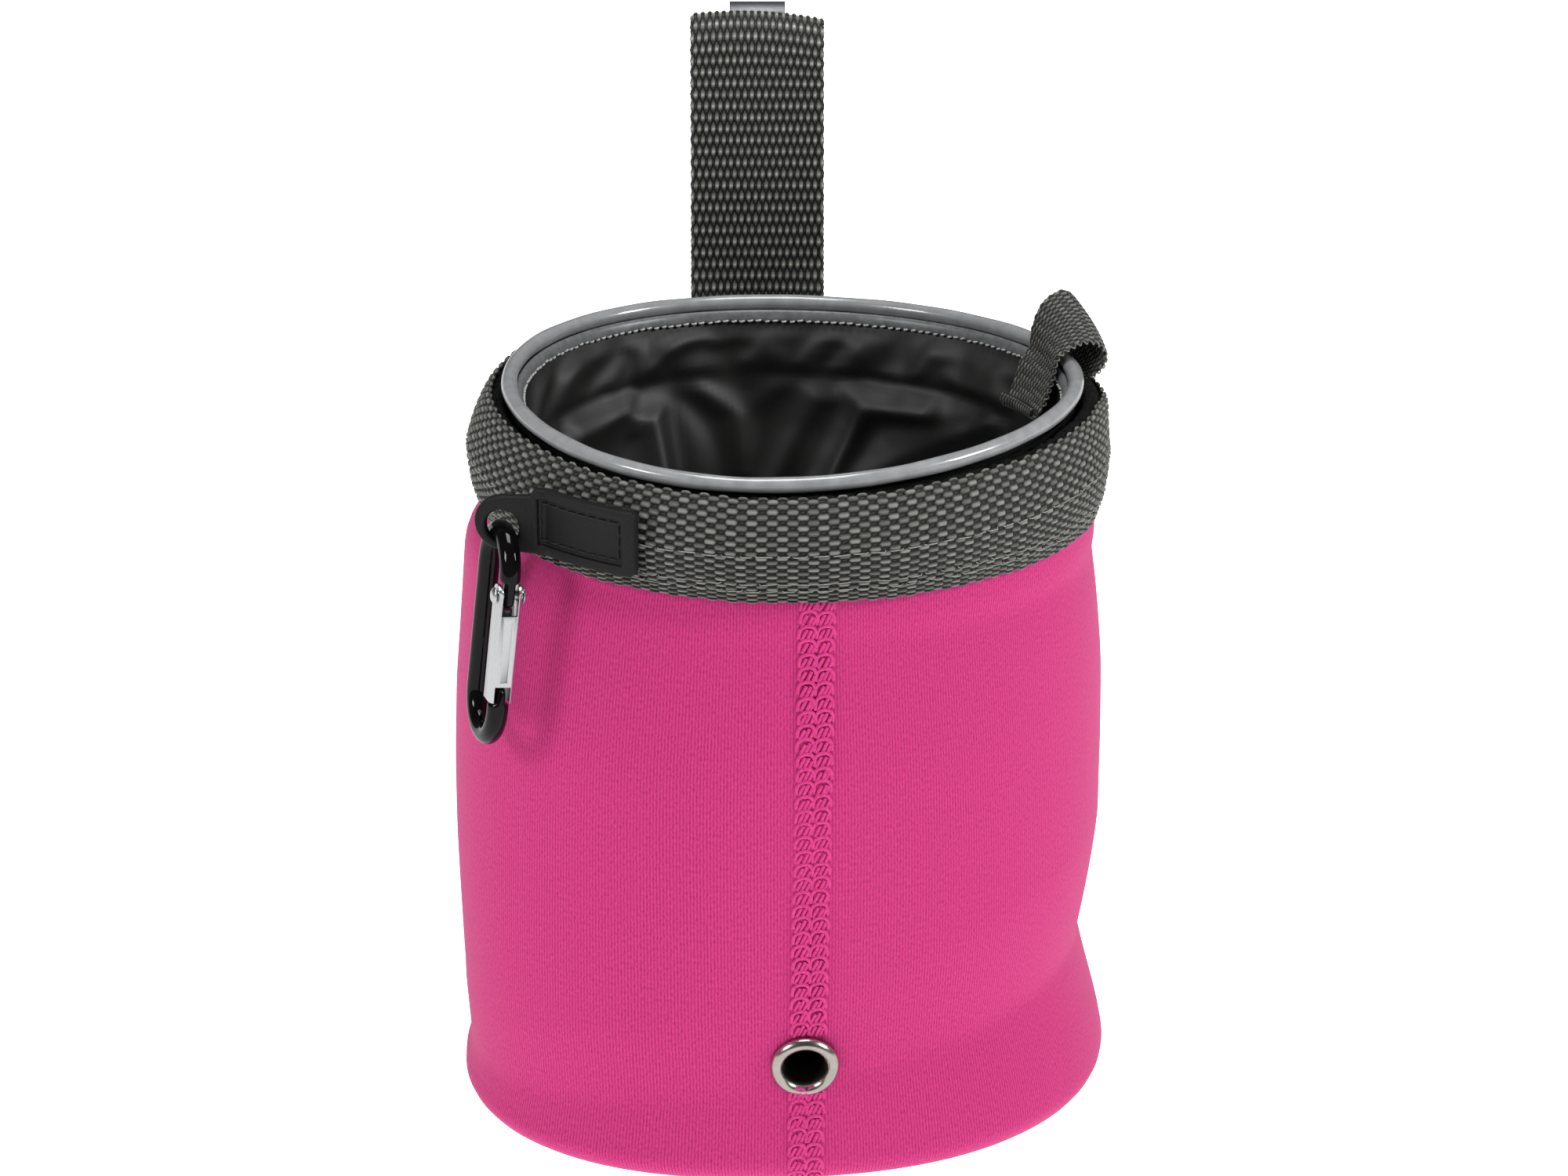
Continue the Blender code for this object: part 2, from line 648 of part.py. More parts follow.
def strip(route, thickness, width):
    """Strip of one width that follows a route of Y and Z."""
    outline = thick_line(route, thickness)
    place = lambda x, point: (x, point[0], point[1])
    return extruded(outline, STRAP_X - width / 2, STRAP_X + width / 2, place)


def round_pin(radius, low, high, place):
    return extruded(circle(radius, ROUND_STEPS), low, high, place)


def turned_pin(profile, place):
    """Pin turned from radii at distances along its axis."""
    rounds = [(circle(radius, ROUND_STEPS), along) for radius, along in profile]
    return sweep([[place(along, point) for point in outline] for outline, along in rounds])


def strap_route():
    """Front leaf up, over the fold, and down the back leaf to where the two are sewn together."""
    fold = (STRAP_BACK_Y - STRAP_FRONT_Y) / 2
    centre = (STRAP_FRONT_Y + fold, STRAP_FOLD_Z)
    bend = arc(centre, fold, 180, 0, STRAP_FOLD_STEPS)
    return ([(STRAP_FRONT_Y, STRAP_FOOT_Z), (STRAP_FRONT_Y, STRAP_OPEN_Z)] + bend
            + [(STRAP_BACK_Y, STRAP_OPEN_Z), (STRAP_JOIN_Y, STRAP_JOIN_Z), (STRAP_JOIN_Y, STRAP_FOOT_Z)])


def rivet_place(height):
    return lambda y, point: (STRAP_X + point[0], y, height + point[1])


def clip_rivet(height):
    """Rivet through the back leaf and the clip's plate, with a flat head on each side."""
    inner = STRAP_BACK_Y - STRAP_THICKNESS / 2 - GAP
    outer = CLIP_PLATE_Y + CLIP_THICKNESS / 2 + GAP
    thick = CLIP_RIVET_HEAD_THICKNESS
    crown = CLIP_RIVET_HEAD * CLIP_RIVET_CROWN
    profile = [(crown, inner - thick), (CLIP_RIVET_HEAD, inner - thick / 2), (CLIP_RIVET_HEAD, inner),
               (CLIP_RIVET_SHANK, inner), (CLIP_RIVET_SHANK, outer), (CLIP_RIVET_HEAD, outer),
               (CLIP_RIVET_HEAD, outer + thick / 2), (crown, outer + thick)]
    return turned_pin(profile, rivet_place(height))


def build_strap(carrier, leg_carrier):
    grey = material("grey strap webbing", (0.06, 0.06, 0.056), 0.85)
    steel = material("clip steel", (0.42, 0.42, 0.43), 0.4, 1.0)
    rivet = material("clip rivet steel", (0.5, 0.5, 0.5), 0.35, 1.0)

    strap = piece("belt_strap", strip(strap_route(), STRAP_THICKNESS, WEBBING_WIDTH), grey, carrier)
    bend = arc((CLIP_PLATE_Y + CLIP_BEND_RADIUS, CLIP_BEND_Z), CLIP_BEND_RADIUS, 180, 0, CLIP_BEND_STEPS)
    plate_route = [(CLIP_PLATE_Y, CLIP_PLATE_FOOT_Z)] + bend
    plate = piece("belt_clip", strip(plate_route, CLIP_THICKNESS, CLIP_WIDTH), steel, carrier)
    cut_from = STRAP_BACK_Y - CLIP_CUT_PAST
    cut_to = CLIP_PLATE_Y + CLIP_CUT_PAST
    for name, height in CLIP_RIVET_HEIGHTS.items():
        for target in (strap, plate):
            hole = round_pin(CLIP_RIVET_HOLE, cut_from, cut_to, rivet_place(height))
            cut(target, f"{target.name}_{name}_cutter", hole)
        piece(name, clip_rivet(height), rivet, carrier)
    leg_y = CLIP_PLATE_Y + 2 * CLIP_BEND_RADIUS
    leg = [(leg_y, CLIP_BEND_Z - GAP), (leg_y, CLIP_LEG_TOE_Z + CLIP_TOE_START),
           (leg_y + CLIP_TOE_LEAN, CLIP_LEG_TOE_Z), (leg_y + CLIP_TOE_FLARE, CLIP_LEG_TOE_Z - CLIP_TOE_DROP)]
    piece("belt_clip_leg", strip(leg, CLIP_THICKNESS, CLIP_WIDTH), steel, leg_carrier)


# Carabiner, built in its own plane: X towards the gate, Y across the plane, Z up

def wire_stations():
    """Centre line of the body with its direction and half sizes, from the gate's pivot round to the nose."""
    stations = [((ARC_RADIUS, -PIVOT_DROP - reach), (0, 1), half, TONGUE_HALF) for reach, half in TONGUE_TIP]
    stations.append(((ARC_RADIUS, UPPER_SHOULDER - SHOULDER_STEP), (0, 1), WIRE_RADIUS, TONGUE_HALF))
    stations.append(((ARC_RADIUS, UPPER_SHOULDER), (0, 1), WIRE_RADIUS, WIRE_RADIUS))
    top = arc((0, 0), ARC_RADIUS, 0, 180, ARC_STEPS)
    foot = arc((0, -ARC_DROP), ARC_RADIUS, 180, 360, ARC_STEPS)
    for points, start in ((top, 90), (foot, 270)):
        for step, place in enumerate(points):
            heading = math.radians(start + 180 * step / ARC_STEPS)
            stations.append((place, (math.cos(heading), math.sin(heading)), WIRE_RADIUS, WIRE_RADIUS))
    stations.append(((ARC_RADIUS, LOWER_SHOULDER), (0, 1), WIRE_RADIUS, WIRE_RADIUS))
    stations.append(((ARC_RADIUS, LOWER_SHOULDER + SHOULDER_STEP), (0, 1), WIRE_RADIUS, TONGUE_HALF))
    for drop, in_plane, across in NOSE_TAPER:
        stations.append(((ARC_RADIUS, NOSE_TIP - drop), (0, 1), WIRE_RADIUS * in_plane, TONGUE_HALF * across))
    return stations


def wire_solid():
    outlines = []
    for place, heading, in_plane, across in wire_stations():
        side = (heading[1], -heading[0])
        outline = [(place[0] + side[0] * a * in_plane, b * across, place[1] + side[1] * a * in_plane)
                   for a, b in circle(1.0, WIRE_SIDES)]
        outlines.append(outline)
    return sweep(outlines)


def gate_box(x_range, half_width, z_range):
    outline = box_section(x_range, (-half_width, half_width))
    return extruded(outline, *z_range, lambda z, point: (point[0], point[1], z))


def gate_blank():
    """Outside of the folded gate, rounded about its pivot."""
    half = (GATE_DEPTHS[1] - GATE_DEPTHS[0]) / 2
    top = arc(((GATE_DEPTHS[0] + GATE_DEPTHS[1]) / 2, -PIVOT_DROP), half, 0, 180, GATE_ROUND_STEPS)
    outline = [(GATE_DEPTHS[0], GATE_FOOT), (GATE_DEPTHS[1], GATE_FOOT)] + top
    outer_half = GATE_INNER_HALF + GATE_SHEET
    return extruded(outline, -outer_half, outer_half, lambda y, point: (point[0], y, point[1]))


def pivot_place(y, point):
    return (ARC_RADIUS + point[0], y, -PIVOT_DROP + point[1])


def gate_rivet_solid():
    wall = GATE_INNER_HALF + GATE_SHEET + GAP
    head = wall + RIVET_HEAD_THICKNESS
    crown = RIVET_HEAD * RIVET_CROWN
    edge = wall + RIVET_EDGE
    profile = [(crown, -head), (RIVET_HEAD, -edge), (RIVET_HEAD, -wall), (RIVET_SHANK, -wall),
               (RIVET_SHANK, wall), (RIVET_HEAD, wall), (RIVET_HEAD, edge), (crown, head)]
    return turned_pin(profile, pivot_place)


def spring_solid():
    """Coil of the gate's spring, one unbroken wire; prints its least gap to itself."""
    count = SPRING_CURLS * SPRING_CURL_POINTS
    high, low = SPRING_HEIGHTS
    middles = []
    for i in range(count + 1):
        turn = 2 * math.pi * i / SPRING_CURL_POINTS
        middles.append(Vector((SPRING_X + SPRING_RADIUS * math.cos(turn), SPRING_RADIUS * math.sin(turn),
                               mix(high, low, i / count))))
    apart = [(a - b).length for i, a in enumerate(middles) for b in middles[i + SPRING_CURL_POINTS // 2:]]
    print("spring's least gap to itself, mm:", round(min(apart) - 2 * SPRING_WIRE, 2))
    outlines = []
    for i, middle in enumerate(middles):
        along = (middles[min(i + 1, count)] - middles[max(i - 1, 0)]).normalized()
        outward = Vector((middle.x - SPRING_X, middle.y, 0)).normalized()
        other = along.cross(outward)
        outlines.append([middle + outward * a + other * b for a, b in circle(SPRING_WIRE, SPRING_WIRE_SIDES)])
    return sweep(outlines)


def build_carabiner(carrier, gate_carrier):
    black = material("black anodised wire", (0.008, 0.008, 0.009), 0.15)
    bright = material("bright steel gate", (0.72, 0.72, 0.73), 0.25, 1.0)
    spring = material("spring wire", (0.5, 0.5, 0.5), 0.35, 1.0)

    body = piece("carabiner_body", wire_solid(), black, carrier, local=True)
    cut(body, "pivot_hole_cutter", round_pin(GATE_HOLE, *PIVOT_CUT, pivot_place), local=True)
    piece("gate_rivet", gate_rivet_solid(), bright, carrier, local=True)

    hollow = (GATE_DEPTHS[0] - GATE_CUT_PAST, GATE_DEPTHS[1] - GATE_SHEET)
    slot = (GATE_DEPTHS[0], GATE_DEPTHS[1] + GATE_CUT_PAST)
    past_foot = GATE_FOOT - GATE_CUT_PAST
    gate_cutters = {
        "gate_hollow_upper_cutter": gate_box(hollow, GATE_INNER_HALF, (GATE_CRIMP[0], GATE_CUT_PAST)),
        "gate_hollow_lower_cutter": gate_box(hollow, GATE_INNER_HALF, (past_foot, GATE_CRIMP[1])),
        "gate_slot_upper_cutter": gate_box(slot, GATE_SLOT_HALF, (GATE_WEB[0], GATE_CUT_PAST)),
        "gate_slot_lower_cutter": gate_box(slot, GATE_SLOT_HALF, (past_foot, GATE_WEB[1])),
        "gate_pivot_cutter": round_pin(GATE_HOLE, *PIVOT_CUT, pivot_place),
    }
    to_gate = gate_carrier.matrix_world.inverted() @ carrier.matrix_world
    blank = gate_blank()
    blank.transform(to_gate)
    gate = piece("carabiner_gate", blank, bright, gate_carrier, local=True)
    for name, builder in gate_cutters.items():
        builder.transform(to_gate)
        cut(gate, name, builder, local=True)
    top, collar, tip = PLUNGER_HEIGHTS
    profile = [(PLUNGER_RADIUS, top), (PLUNGER_RADIUS, collar), (PLUNGER_STEM, collar), (PLUNGER_STEM, tip)]
    plunger = turned_pin(profile, lambda z, point: (SPRING_X + point[0], point[1], z))
    for name, builder in (("gate_plunger", plunger), ("gate_spring", spring_solid())):
        builder.transform(to_gate)
        piece(name, builder, spring, gate_carrier, local=True)


def carabiner_turn():
    """Way the carabiner hangs: its plane turned from the front, leaning out with the bag's wall."""
    turn = math.radians(CARABINER_TURN)
    lean = math.radians(CARABINER_LEAN)
    gate_way = Vector((math.sin(turn), -math.cos(turn), 0))
    side_way = Vector((-math.cos(turn), -math.sin(turn), 0))
    up = Vector((0, 0, 1)) * math.cos(lean) - side_way * math.sin(lean)
    across = up.cross(gate_way)
    return Matrix((gate_way, across, up)).transposed().to_4x4(), up


def build():
    clear_scene()
    pouch = frame("pouch_frame", (0, 0, 0))
    build_outer_bag(pouch)

    liner = frame("liner_frame", (*MOUTH_CENTRE, RIM_HEIGHT), parent=pouch)
    build_inner_bag(liner)

    strap = frame("strap_frame", (STRAP_X, *STRAP_HINGE), parent=pouch)
    leg_axis = (STRAP_X, CLIP_PLATE_Y + 2 * CLIP_BEND_RADIUS, CLIP_BEND_Z)
    leg = frame("clip_leg_frame", leg_axis, parent=strap)
    build_strap(strap, leg)

    turn, up = carabiner_turn()
    _, hole, facing = label_path()
    hole = hole + Vector((math.cos(facing), math.sin(facing), 0)) * LABEL_THICKNESS / 2
    wire_rest = hole - Vector((0, 0, LABEL_HOLE_RADIUS - WIRE_RADIUS - CARABINER_REST))
    origin = wire_rest - up * ARC_RADIUS
    carabiner = frame("carabiner_frame", origin, turn, parent=pouch)
    pivot = origin + turn.to_3x3() @ Vector((ARC_RADIUS, 0, -PIVOT_DROP))
    gate = frame("gate_frame", pivot, turn, parent=carabiner)
    build_carabiner(carabiner, gate)


build()
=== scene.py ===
# %% [markdown]
# # A treat pouch
# A soft pink bag for training treats: knit-faced neoprene outside, a black lining on a stiff rim
# inside, a band of grey webbing round the mouth, a belt strap behind and a small carabiner on a rubber
# label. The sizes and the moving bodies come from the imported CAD, and every piece here is laid on them.

# %% Load the frame
import math
import random

import bpy
import numpy as np
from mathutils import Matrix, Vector


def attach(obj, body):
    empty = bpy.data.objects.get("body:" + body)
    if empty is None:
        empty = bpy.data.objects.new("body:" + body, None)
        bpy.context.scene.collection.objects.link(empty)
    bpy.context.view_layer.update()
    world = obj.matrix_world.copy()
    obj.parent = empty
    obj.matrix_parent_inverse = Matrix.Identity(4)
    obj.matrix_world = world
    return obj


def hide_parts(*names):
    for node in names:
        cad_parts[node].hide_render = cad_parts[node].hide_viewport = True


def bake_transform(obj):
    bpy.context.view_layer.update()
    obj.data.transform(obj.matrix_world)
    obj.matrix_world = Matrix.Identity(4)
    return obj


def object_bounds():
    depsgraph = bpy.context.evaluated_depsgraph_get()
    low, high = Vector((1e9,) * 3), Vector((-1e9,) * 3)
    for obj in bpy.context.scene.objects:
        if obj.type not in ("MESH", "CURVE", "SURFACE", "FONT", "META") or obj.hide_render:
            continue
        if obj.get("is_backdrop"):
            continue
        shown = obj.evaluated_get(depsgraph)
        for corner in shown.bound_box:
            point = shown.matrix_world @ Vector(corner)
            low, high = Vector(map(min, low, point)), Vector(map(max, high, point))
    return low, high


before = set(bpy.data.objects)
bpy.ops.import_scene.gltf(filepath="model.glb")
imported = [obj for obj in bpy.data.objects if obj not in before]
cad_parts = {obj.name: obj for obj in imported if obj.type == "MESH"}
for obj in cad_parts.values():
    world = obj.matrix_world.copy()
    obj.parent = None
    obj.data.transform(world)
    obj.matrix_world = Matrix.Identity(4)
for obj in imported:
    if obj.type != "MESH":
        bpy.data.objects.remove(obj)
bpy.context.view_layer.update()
MM = 0.001
random.seed(11)

# %% [markdown]
# ## Camera
# The photograph looks down on the pouch at about 20 degrees. A camera can be placed by eye, but a
# distance, an angle and a lens that are written down can be matched to the photograph step by step. A
# long lens far away keeps the upright sides nearly parallel, as they are there.

# %% Camera
ELEVATION = math.radians(20.5)
DISTANCE = 1.5
AIM_HEIGHT = 0.0905
SENSOR_WIDTH = 36
LENS = 195.75
bpy.ops.object.select_all(action='DESELECT')
bpy.ops.object.camera_add(
    location=(0, -DISTANCE * math.cos(ELEVATION), AIM_HEIGHT + DISTANCE * math.sin(ELEVATION)),
    rotation=(math.pi / 2 - ELEVATION, 0, 0))
camera = bpy.context.object
camera.data.sensor_width = SENSOR_WIDTH
camera.data.lens = LENS
camera.data.dof.use_dof = False
bpy.context.scene.camera = camera
print("camera is", DISTANCE, "m away with a lens of", LENS, "mm")

# %% [markdown]
# ## Colours and nodes
# Colours are read off a screen as hex codes, which are bent to suit the eye, but the renderer adds up
# light in straight numbers. One function turns the first into the second. Two more start a material and
# add a node with its settings and links, so that each finish further down reads like a short recipe.


# %% Colours and nodes
def colour(code):
    """Linear colour of an sRGB hex code."""
    parts = [int(code[i:i + 2], 16) / 255 for i in (1, 3, 5)]
    linear = [p / 12.92 if p <= 0.04045 else ((p + 0.055) / 1.055) ** 2.4 for p in parts]
    return (*linear, 1.0)


def new_material(name, **values):
    """Material with one surface shader, whose sockets take the values; underscores stand for spaces."""
    material = bpy.data.materials.new(name)
    material.use_nodes = True
    shader = material.node_tree.nodes["Principled BSDF"]
    for socket, value in values.items():
        shader.inputs[socket.replace("_", " ")].default_value = value
    return material, shader


def add_node(material, kind, links=None, stops=None, **settings):
    """Adds a node with its settings, fills its sockets with values or links, and sets a ramp's stops."""
    node = material.node_tree.nodes.new(kind)
    for name, value in settings.items():
        setattr(node, name, value)
    for socket, value in (links or {}).items():
        if isinstance(value, bpy.types.NodeSocket):
            material.node_tree.links.new(value, node.inputs[socket])
        else:
            node.inputs[socket].default_value = value
    for i, (position, code) in enumerate(stops or []):
        ramp = node.color_ramp.elements
        stop = ramp[i] if i < 2 else ramp.new(position)
        stop.position = position
        stop.color = colour(code)
    return node


print("middle grey is", round(colour("#808080")[0], 3), "in linear light")

# %% [markdown]
# ## Grained finishes
# No real surface has one flat tone: rubber has a moulded grain, plated metal is a little wavy and
# thread is fluffy. A picture could be wrapped round each piece, but noise that is sized in millimetres
# needs no file and shows no seam. One function makes all these finishes from a grain size, two tones
# and a height.


# %% Grained finishes
def grained(name, grain, tones, bump=0.0, stretch=(1, 1, 1), **values):
    """Material whose tone and height vary in grains; their size and height are in millimetres."""
    material, shader = new_material(name, **values)
    spots = add_node(material, "ShaderNodeTexCoord")
    sized = add_node(material, "ShaderNodeVectorMath", {
        0: spots.outputs["Object"], 1: [side / (grain * MM) for side in stretch]}, operation='MULTIPLY')
    grains = add_node(material, "ShaderNodeTexNoise", {
        "Vector": sized.outputs[0], "Scale": 1.0, "Detail": 3.0})
    tone_ramp = add_node(material, "ShaderNodeValToRGB", {"Fac": grains.outputs["Fac"]},
                   stops=[(0.3, tones[0]), (0.7, tones[1])])
    material.node_tree.links.new(tone_ramp.outputs[0], shader.inputs["Base Color"])
    if bump:
        relief = add_node(material, "ShaderNodeBump", {
            "Height": grains.outputs["Fac"], "Strength": 1.0, "Distance": bump * MM})
        material.node_tree.links.new(relief.outputs[0], shader.inputs["Normal"])
    print(name, "has grains of", grain, "mm")
    return material


# %% [markdown]
# ## White paper floor
# Goods are photographed on white paper that is lit until it burns out. Lamps alone would leave a grey
# shadow on it, so this paper glows by itself. Shiny pieces see a dimmer glow, or else they would mirror
# white all round.

# %% White paper floor
FLOOR_SIZE = 8
PAPER_LIGHT = 2.1
PAPER_GLOSS = 0.75
bpy.ops.mesh.primitive_plane_add(size=FLOOR_SIZE)
floor = bpy.context.object
floor.name = "floor"
# Matt paper, lit through: it gives the eye an even white with no gloss and no edge.
paper, shader = new_material("white paper", Base_Color=colour("#606060"), Roughness=0.9,
                             Specular_IOR_Level=0.1, Emission_Color=colour("#FFFFFF"))
ray = add_node(paper, "ShaderNodeLightPath")
strength = add_node(paper, "ShaderNodeMath", {
    0: ray.outputs["Is Glossy Ray"], 1: PAPER_GLOSS - PAPER_LIGHT, 2: PAPER_LIGHT}, operation='MULTIPLY_ADD')
paper.node_tree.links.new(strength.outputs[0], shader.inputs["Emission Strength"])
floor.data.materials.append(paper)
floor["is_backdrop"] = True
print("paper is", FLOOR_SIZE, "m wide")

# %% [markdown]
# ## Room and softboxes
# Pale walls fill the shadows of a studio, and big soft lamps give the light its direction. A sky
# picture could do both at once, but three lamps are easier to weigh against the photograph: a weak one
# at the left, a strong one at the right and one above. Shiny pieces see a darker room, so that they
# mirror only lamps and paper.

# %% Room
ROOM_LIGHT = 0.4
ROOM_GLOSS = 0.06
world = bpy.data.worlds.new("studio")
world.use_nodes = True
background = world.node_tree.nodes["Background"]
background.inputs["Color"].default_value = colour("#FFFFFF")
ray = add_node(world, "ShaderNodeLightPath")
strength = add_node(world, "ShaderNodeMath", {
    0: ray.outputs["Is Glossy Ray"], 1: ROOM_GLOSS - ROOM_LIGHT, 2: ROOM_LIGHT}, operation='MULTIPLY_ADD')
world.node_tree.links.new(strength.outputs[0], background.inputs["Strength"])
bpy.context.scene.world = world
bpy.context.scene.view_settings.view_transform = 'Standard'
print("room gives a light of", ROOM_LIGHT)

# %% Softboxes
LAMP_AIM = Vector((0, 0, 0.08))


def softbox(name, place, size, power):
    """Square lamp that faces the middle of the pouch."""
    bpy.ops.object.light_add(type='AREA', location=place)
    lamp = bpy.context.object
    lamp.name = name
    lamp.data.size = size
    lamp.data.energy = power
    lamp.rotation_euler = (LAMP_AIM - Vector(place)).to_track_quat('-Z', 'Y').to_euler()
    print(name, power, "W")


softbox("left softbox", (-0.95, -0.6, 0.75), 0.32, 5.4)
softbox("right softbox", (1.05, -0.3, 0.75), 0.32, 8.8)
softbox("top softbox", (0.0, 0.05, 1.3), 0.55, 9)

# %% [markdown]
# ## Smooth steps
# Soft goods have no sudden changes: each shape fades into the next. These three small functions make
# such fades. They take whole arrays of points at once, because a loop over every point would be slow in
# Python.


# %% Smooth steps
def ease(low, high, value):
    """Smooth step from 0 below low to 1 above high."""
    t = np.clip((value - low) / (high - low), 0, 1)
    return t * t * (3 - 2 * t)


def mix(first, second, share):
    """Value at a share of the way from the first to the second."""
    return first + (second - first) * share


def squared(value, power):
    """Power that keeps the sign; one below 1 turns a circle into a squarish oval."""
    return np.sign(value) * np.abs(value) ** power


print("a quarter of the way, a step has risen to", round(float(ease(0, 1, 0.25)), 3))

# %% [markdown]
# ## The bag's plan
# Seen from above the bag is a squarish oval at its base and an egg at its mouth. Outlines could be
# drawn and bridged, but then every tape and thread that is sewn on would have to be fitted by hand. A
# formula gives the place at any angle and height in millimetres. It repeats the CAD's plan, so fine
# surfaces lie on its solids.

# %% Oval plan
BASE_CENTRE = (0.0, 1.0)
MOUTH_CENTRE = (1.5, -0.2)
MOUTH_RADIUS = 49.4
RIM_HEIGHT = 127.5
MOUTH_RISE = 1.8
BASE_DEPTH = 0.98
MOUTH_DEPTH = 0.965
BASE_SQUARENESS = 0.89
EGG = 0.07
SKEW = 0.07
# Heights between which one form fades into the next.
FOOT_SHIFT = (5, 30)
SQUARE_FADE = (0, 104)
EGG_FADE = (70, 104)
NECK_SHIFT = (101, 113)
RISE_FADE = (108, 124)


def around(share):
    """Angle at a share of the way round the bag, which starts at the middle of its back."""
    return 2 * math.pi * share + math.pi / 2


def bag_centre(z):
    """Middle of the bag's plan and the power that squares it, at one height."""
    moved = ease(*NECK_SHIFT, z)
    x = mix(BASE_CENTRE[0] - ease(*FOOT_SHIFT, z), MOUTH_CENTRE[0], moved)
    y = mix(BASE_CENTRE[1], MOUTH_CENTRE[1], moved)
    return x, y, mix(BASE_SQUARENESS, 1.0, ease(*SQUARE_FADE, z))


def bag_point(radius, turn, z):
    """Places on the bag's oval of one radius."""
    mouth = ease(*EGG_FADE, z)
    centre_x, centre_y, power = bag_centre(z)
    x = radius * squared(np.cos(turn), power)
    depth = radius * mix(BASE_DEPTH, MOUTH_DEPTH, mouth) * (1 - EGG * mouth * np.cos(turn))
    y = depth * squared(np.sin(turn), power) + SKEW * (1 - mouth) * x
    return np.stack(np.broadcast_arrays(centre_x + x, centre_y + y, z), axis=-1)


def mouth_point(offset, turn, z):
    """Places at a distance outside the rim's centre line; the mouth rises a little at its left and right."""
    flat = bag_point(MOUTH_RADIUS + offset, turn, RIM_HEIGHT)
    height = z + MOUTH_RISE * np.cos(turn) ** 2 * ease(*RISE_FADE, z)
    return np.stack(np.broadcast_arrays(flat[..., 0], flat[..., 1], height), axis=-1)


print("mouth is", 2 * MOUTH_RADIUS, "mm wide at the rim's centre line")

# %% [markdown]
# ## The wall's outline
# The side of the bag has a rounded foot, a soft waist above it and a neck that is drawn in under the
# band. It could be sculpted, but radii at a few heights can be measured in the photograph. They are
# joined and smoothed, and the waist is taken off on top of that, deeper and higher at the right, where
# the bag is creased.

# %% Outline of the wall
CORNER = 5
CORNER_START = 52.2
WALL_HEIGHTS = [5, 10, 16, 22, 28, 36, 48, 62, 76, 88, 96, 101, 104.5, 107, 112, 117, 121, 123.5]
WALL_RADII = [57.2, 56.8, 56.3, 56.1, 56.2, 56.5, 56.9, 57.1, 56.9, 56.0, 55.3, 54.8, 54.0, 51.9, 53.3, 54.2,
              53.7, 52.7]
SMOOTHING = (-3, -1.5, 0, 1.5, 3)
WAIST_HEIGHT = 17.5
WAIST_REACH = 17
WAIST_TILT = 8.5
WAIST_SPREAD = 6
WAIST_DEPTH = 1.4
LIFT_START = 85
BAND_FOOT = 107
LIFT_END = 126.1


def waist_dip(turn, z):
    """How far the wall is drawn in at its waist."""
    side = np.cos(turn)
    away = np.abs(z - WAIST_HEIGHT - WAIST_TILT * side) / (WAIST_REACH + WAIST_SPREAD * side)
    return (WAIST_DEPTH + side + 0.8 * side ** 2) * np.clip(1 - away, 0, 1) ** 1.3


def band_lift(turn, z):
    """How far the band's lower edge, and the wall under it, is raised round the mouth."""
    below = (z - LIFT_START) / (BAND_FOOT - LIFT_START)
    above = (LIFT_END - z) / (LIFT_END - BAND_FOOT)
    share = np.where(z < BAND_FOOT, below, above)
    return (-1.5 * np.cos(turn) + 0.8 * np.cos(turn) ** 2) * np.clip(share, 0, 1)


def wall_radius(z):
    """Outer radius of the wall, with the base's rounded corner and its levels smoothed over 6 mm."""
    below = CORNER - np.minimum(z, CORNER)
    corner = CORNER_START + np.sqrt(np.clip(CORNER ** 2 - below ** 2, 0, None))
    levels = sum(np.interp(z + shift, WALL_HEIGHTS, WALL_RADII) for shift in SMOOTHING) / len(SMOOTHING)
    return np.where(z < CORNER, corner, levels)


print("wall's radius is", round(float(wall_radius(60.0)), 1), "mm at a height of 60 mm")

# %% [markdown]
# ## Places on the wall
# Under the band the bag's plan turns into the mouth's. On the real bag the foam is simply pulled in
# there, over about 10 mm. The two plans are mixed over that height, so that no ring shows where one
# ends.

# %% Places on the wall
NECK = (98, 108)


def neck_share(z):
    """How far the bag's plan has turned into the mouth's, which is drawn out over 10 mm below the band."""
    return ease(*NECK, z)


def wall_place(radius, turn, z):
    """Places on the wall at one radius, on the bag's plan below its neck and on the mouth's above."""
    height = z + band_lift(turn, z)
    share = np.asarray(neck_share(z))[..., None]
    return mix(bag_point(radius, turn, height), mouth_point(radius - MOUTH_RADIUS, turn, height), share)


def wall_point(turn, z, lift=0.0):
    """Places on the outside of the neoprene wall, or a lift off it."""
    return wall_place(wall_radius(z) - waist_dip(turn, z) + lift, turn, z)


def front_turn(x, z):
    """Angle at which the front wall has one X."""
    centre, _, power = bag_centre(z)
    centre = mix(centre, MOUTH_CENTRE[0], neck_share(z))
    return -np.arccos(squared((x - centre) / wall_radius(z), 1 / power))


print("front of the wall is at Y", round(float(wall_point(-math.pi / 2, np.array(60.0))[1]), 1), "mm")

# %% [markdown]
# ## Smooth lines
# Tapes, folds and sections are drawn here as a few points each, as a pattern cutter would mark them. A
# Bezier curve could join them, but it swings past its points. Cutting the corners off again and again
# never does.

# %% Smooth lines
CORNER_CUT = 0.25


def rounded(points, rounds=3):
    """Line whose corners are cut off again and again until it is a smooth curve."""
    line = np.array(points, float)
    for _ in range(rounds):
        near = line[:-1] * (1 - CORNER_CUT) + line[1:] * CORNER_CUT
        far = line[:-1] * CORNER_CUT + line[1:] * (1 - CORNER_CUT)
        cuts = np.stack((near, far), axis=1)
        line = np.vstack((line[:1], cuts.reshape(-1, line.shape[1]), line[-1:]))
    return line


def step_lengths(line):
    """Lengths of the steps between a line's points."""
    return np.linalg.norm(np.diff(line, axis=0), axis=1)


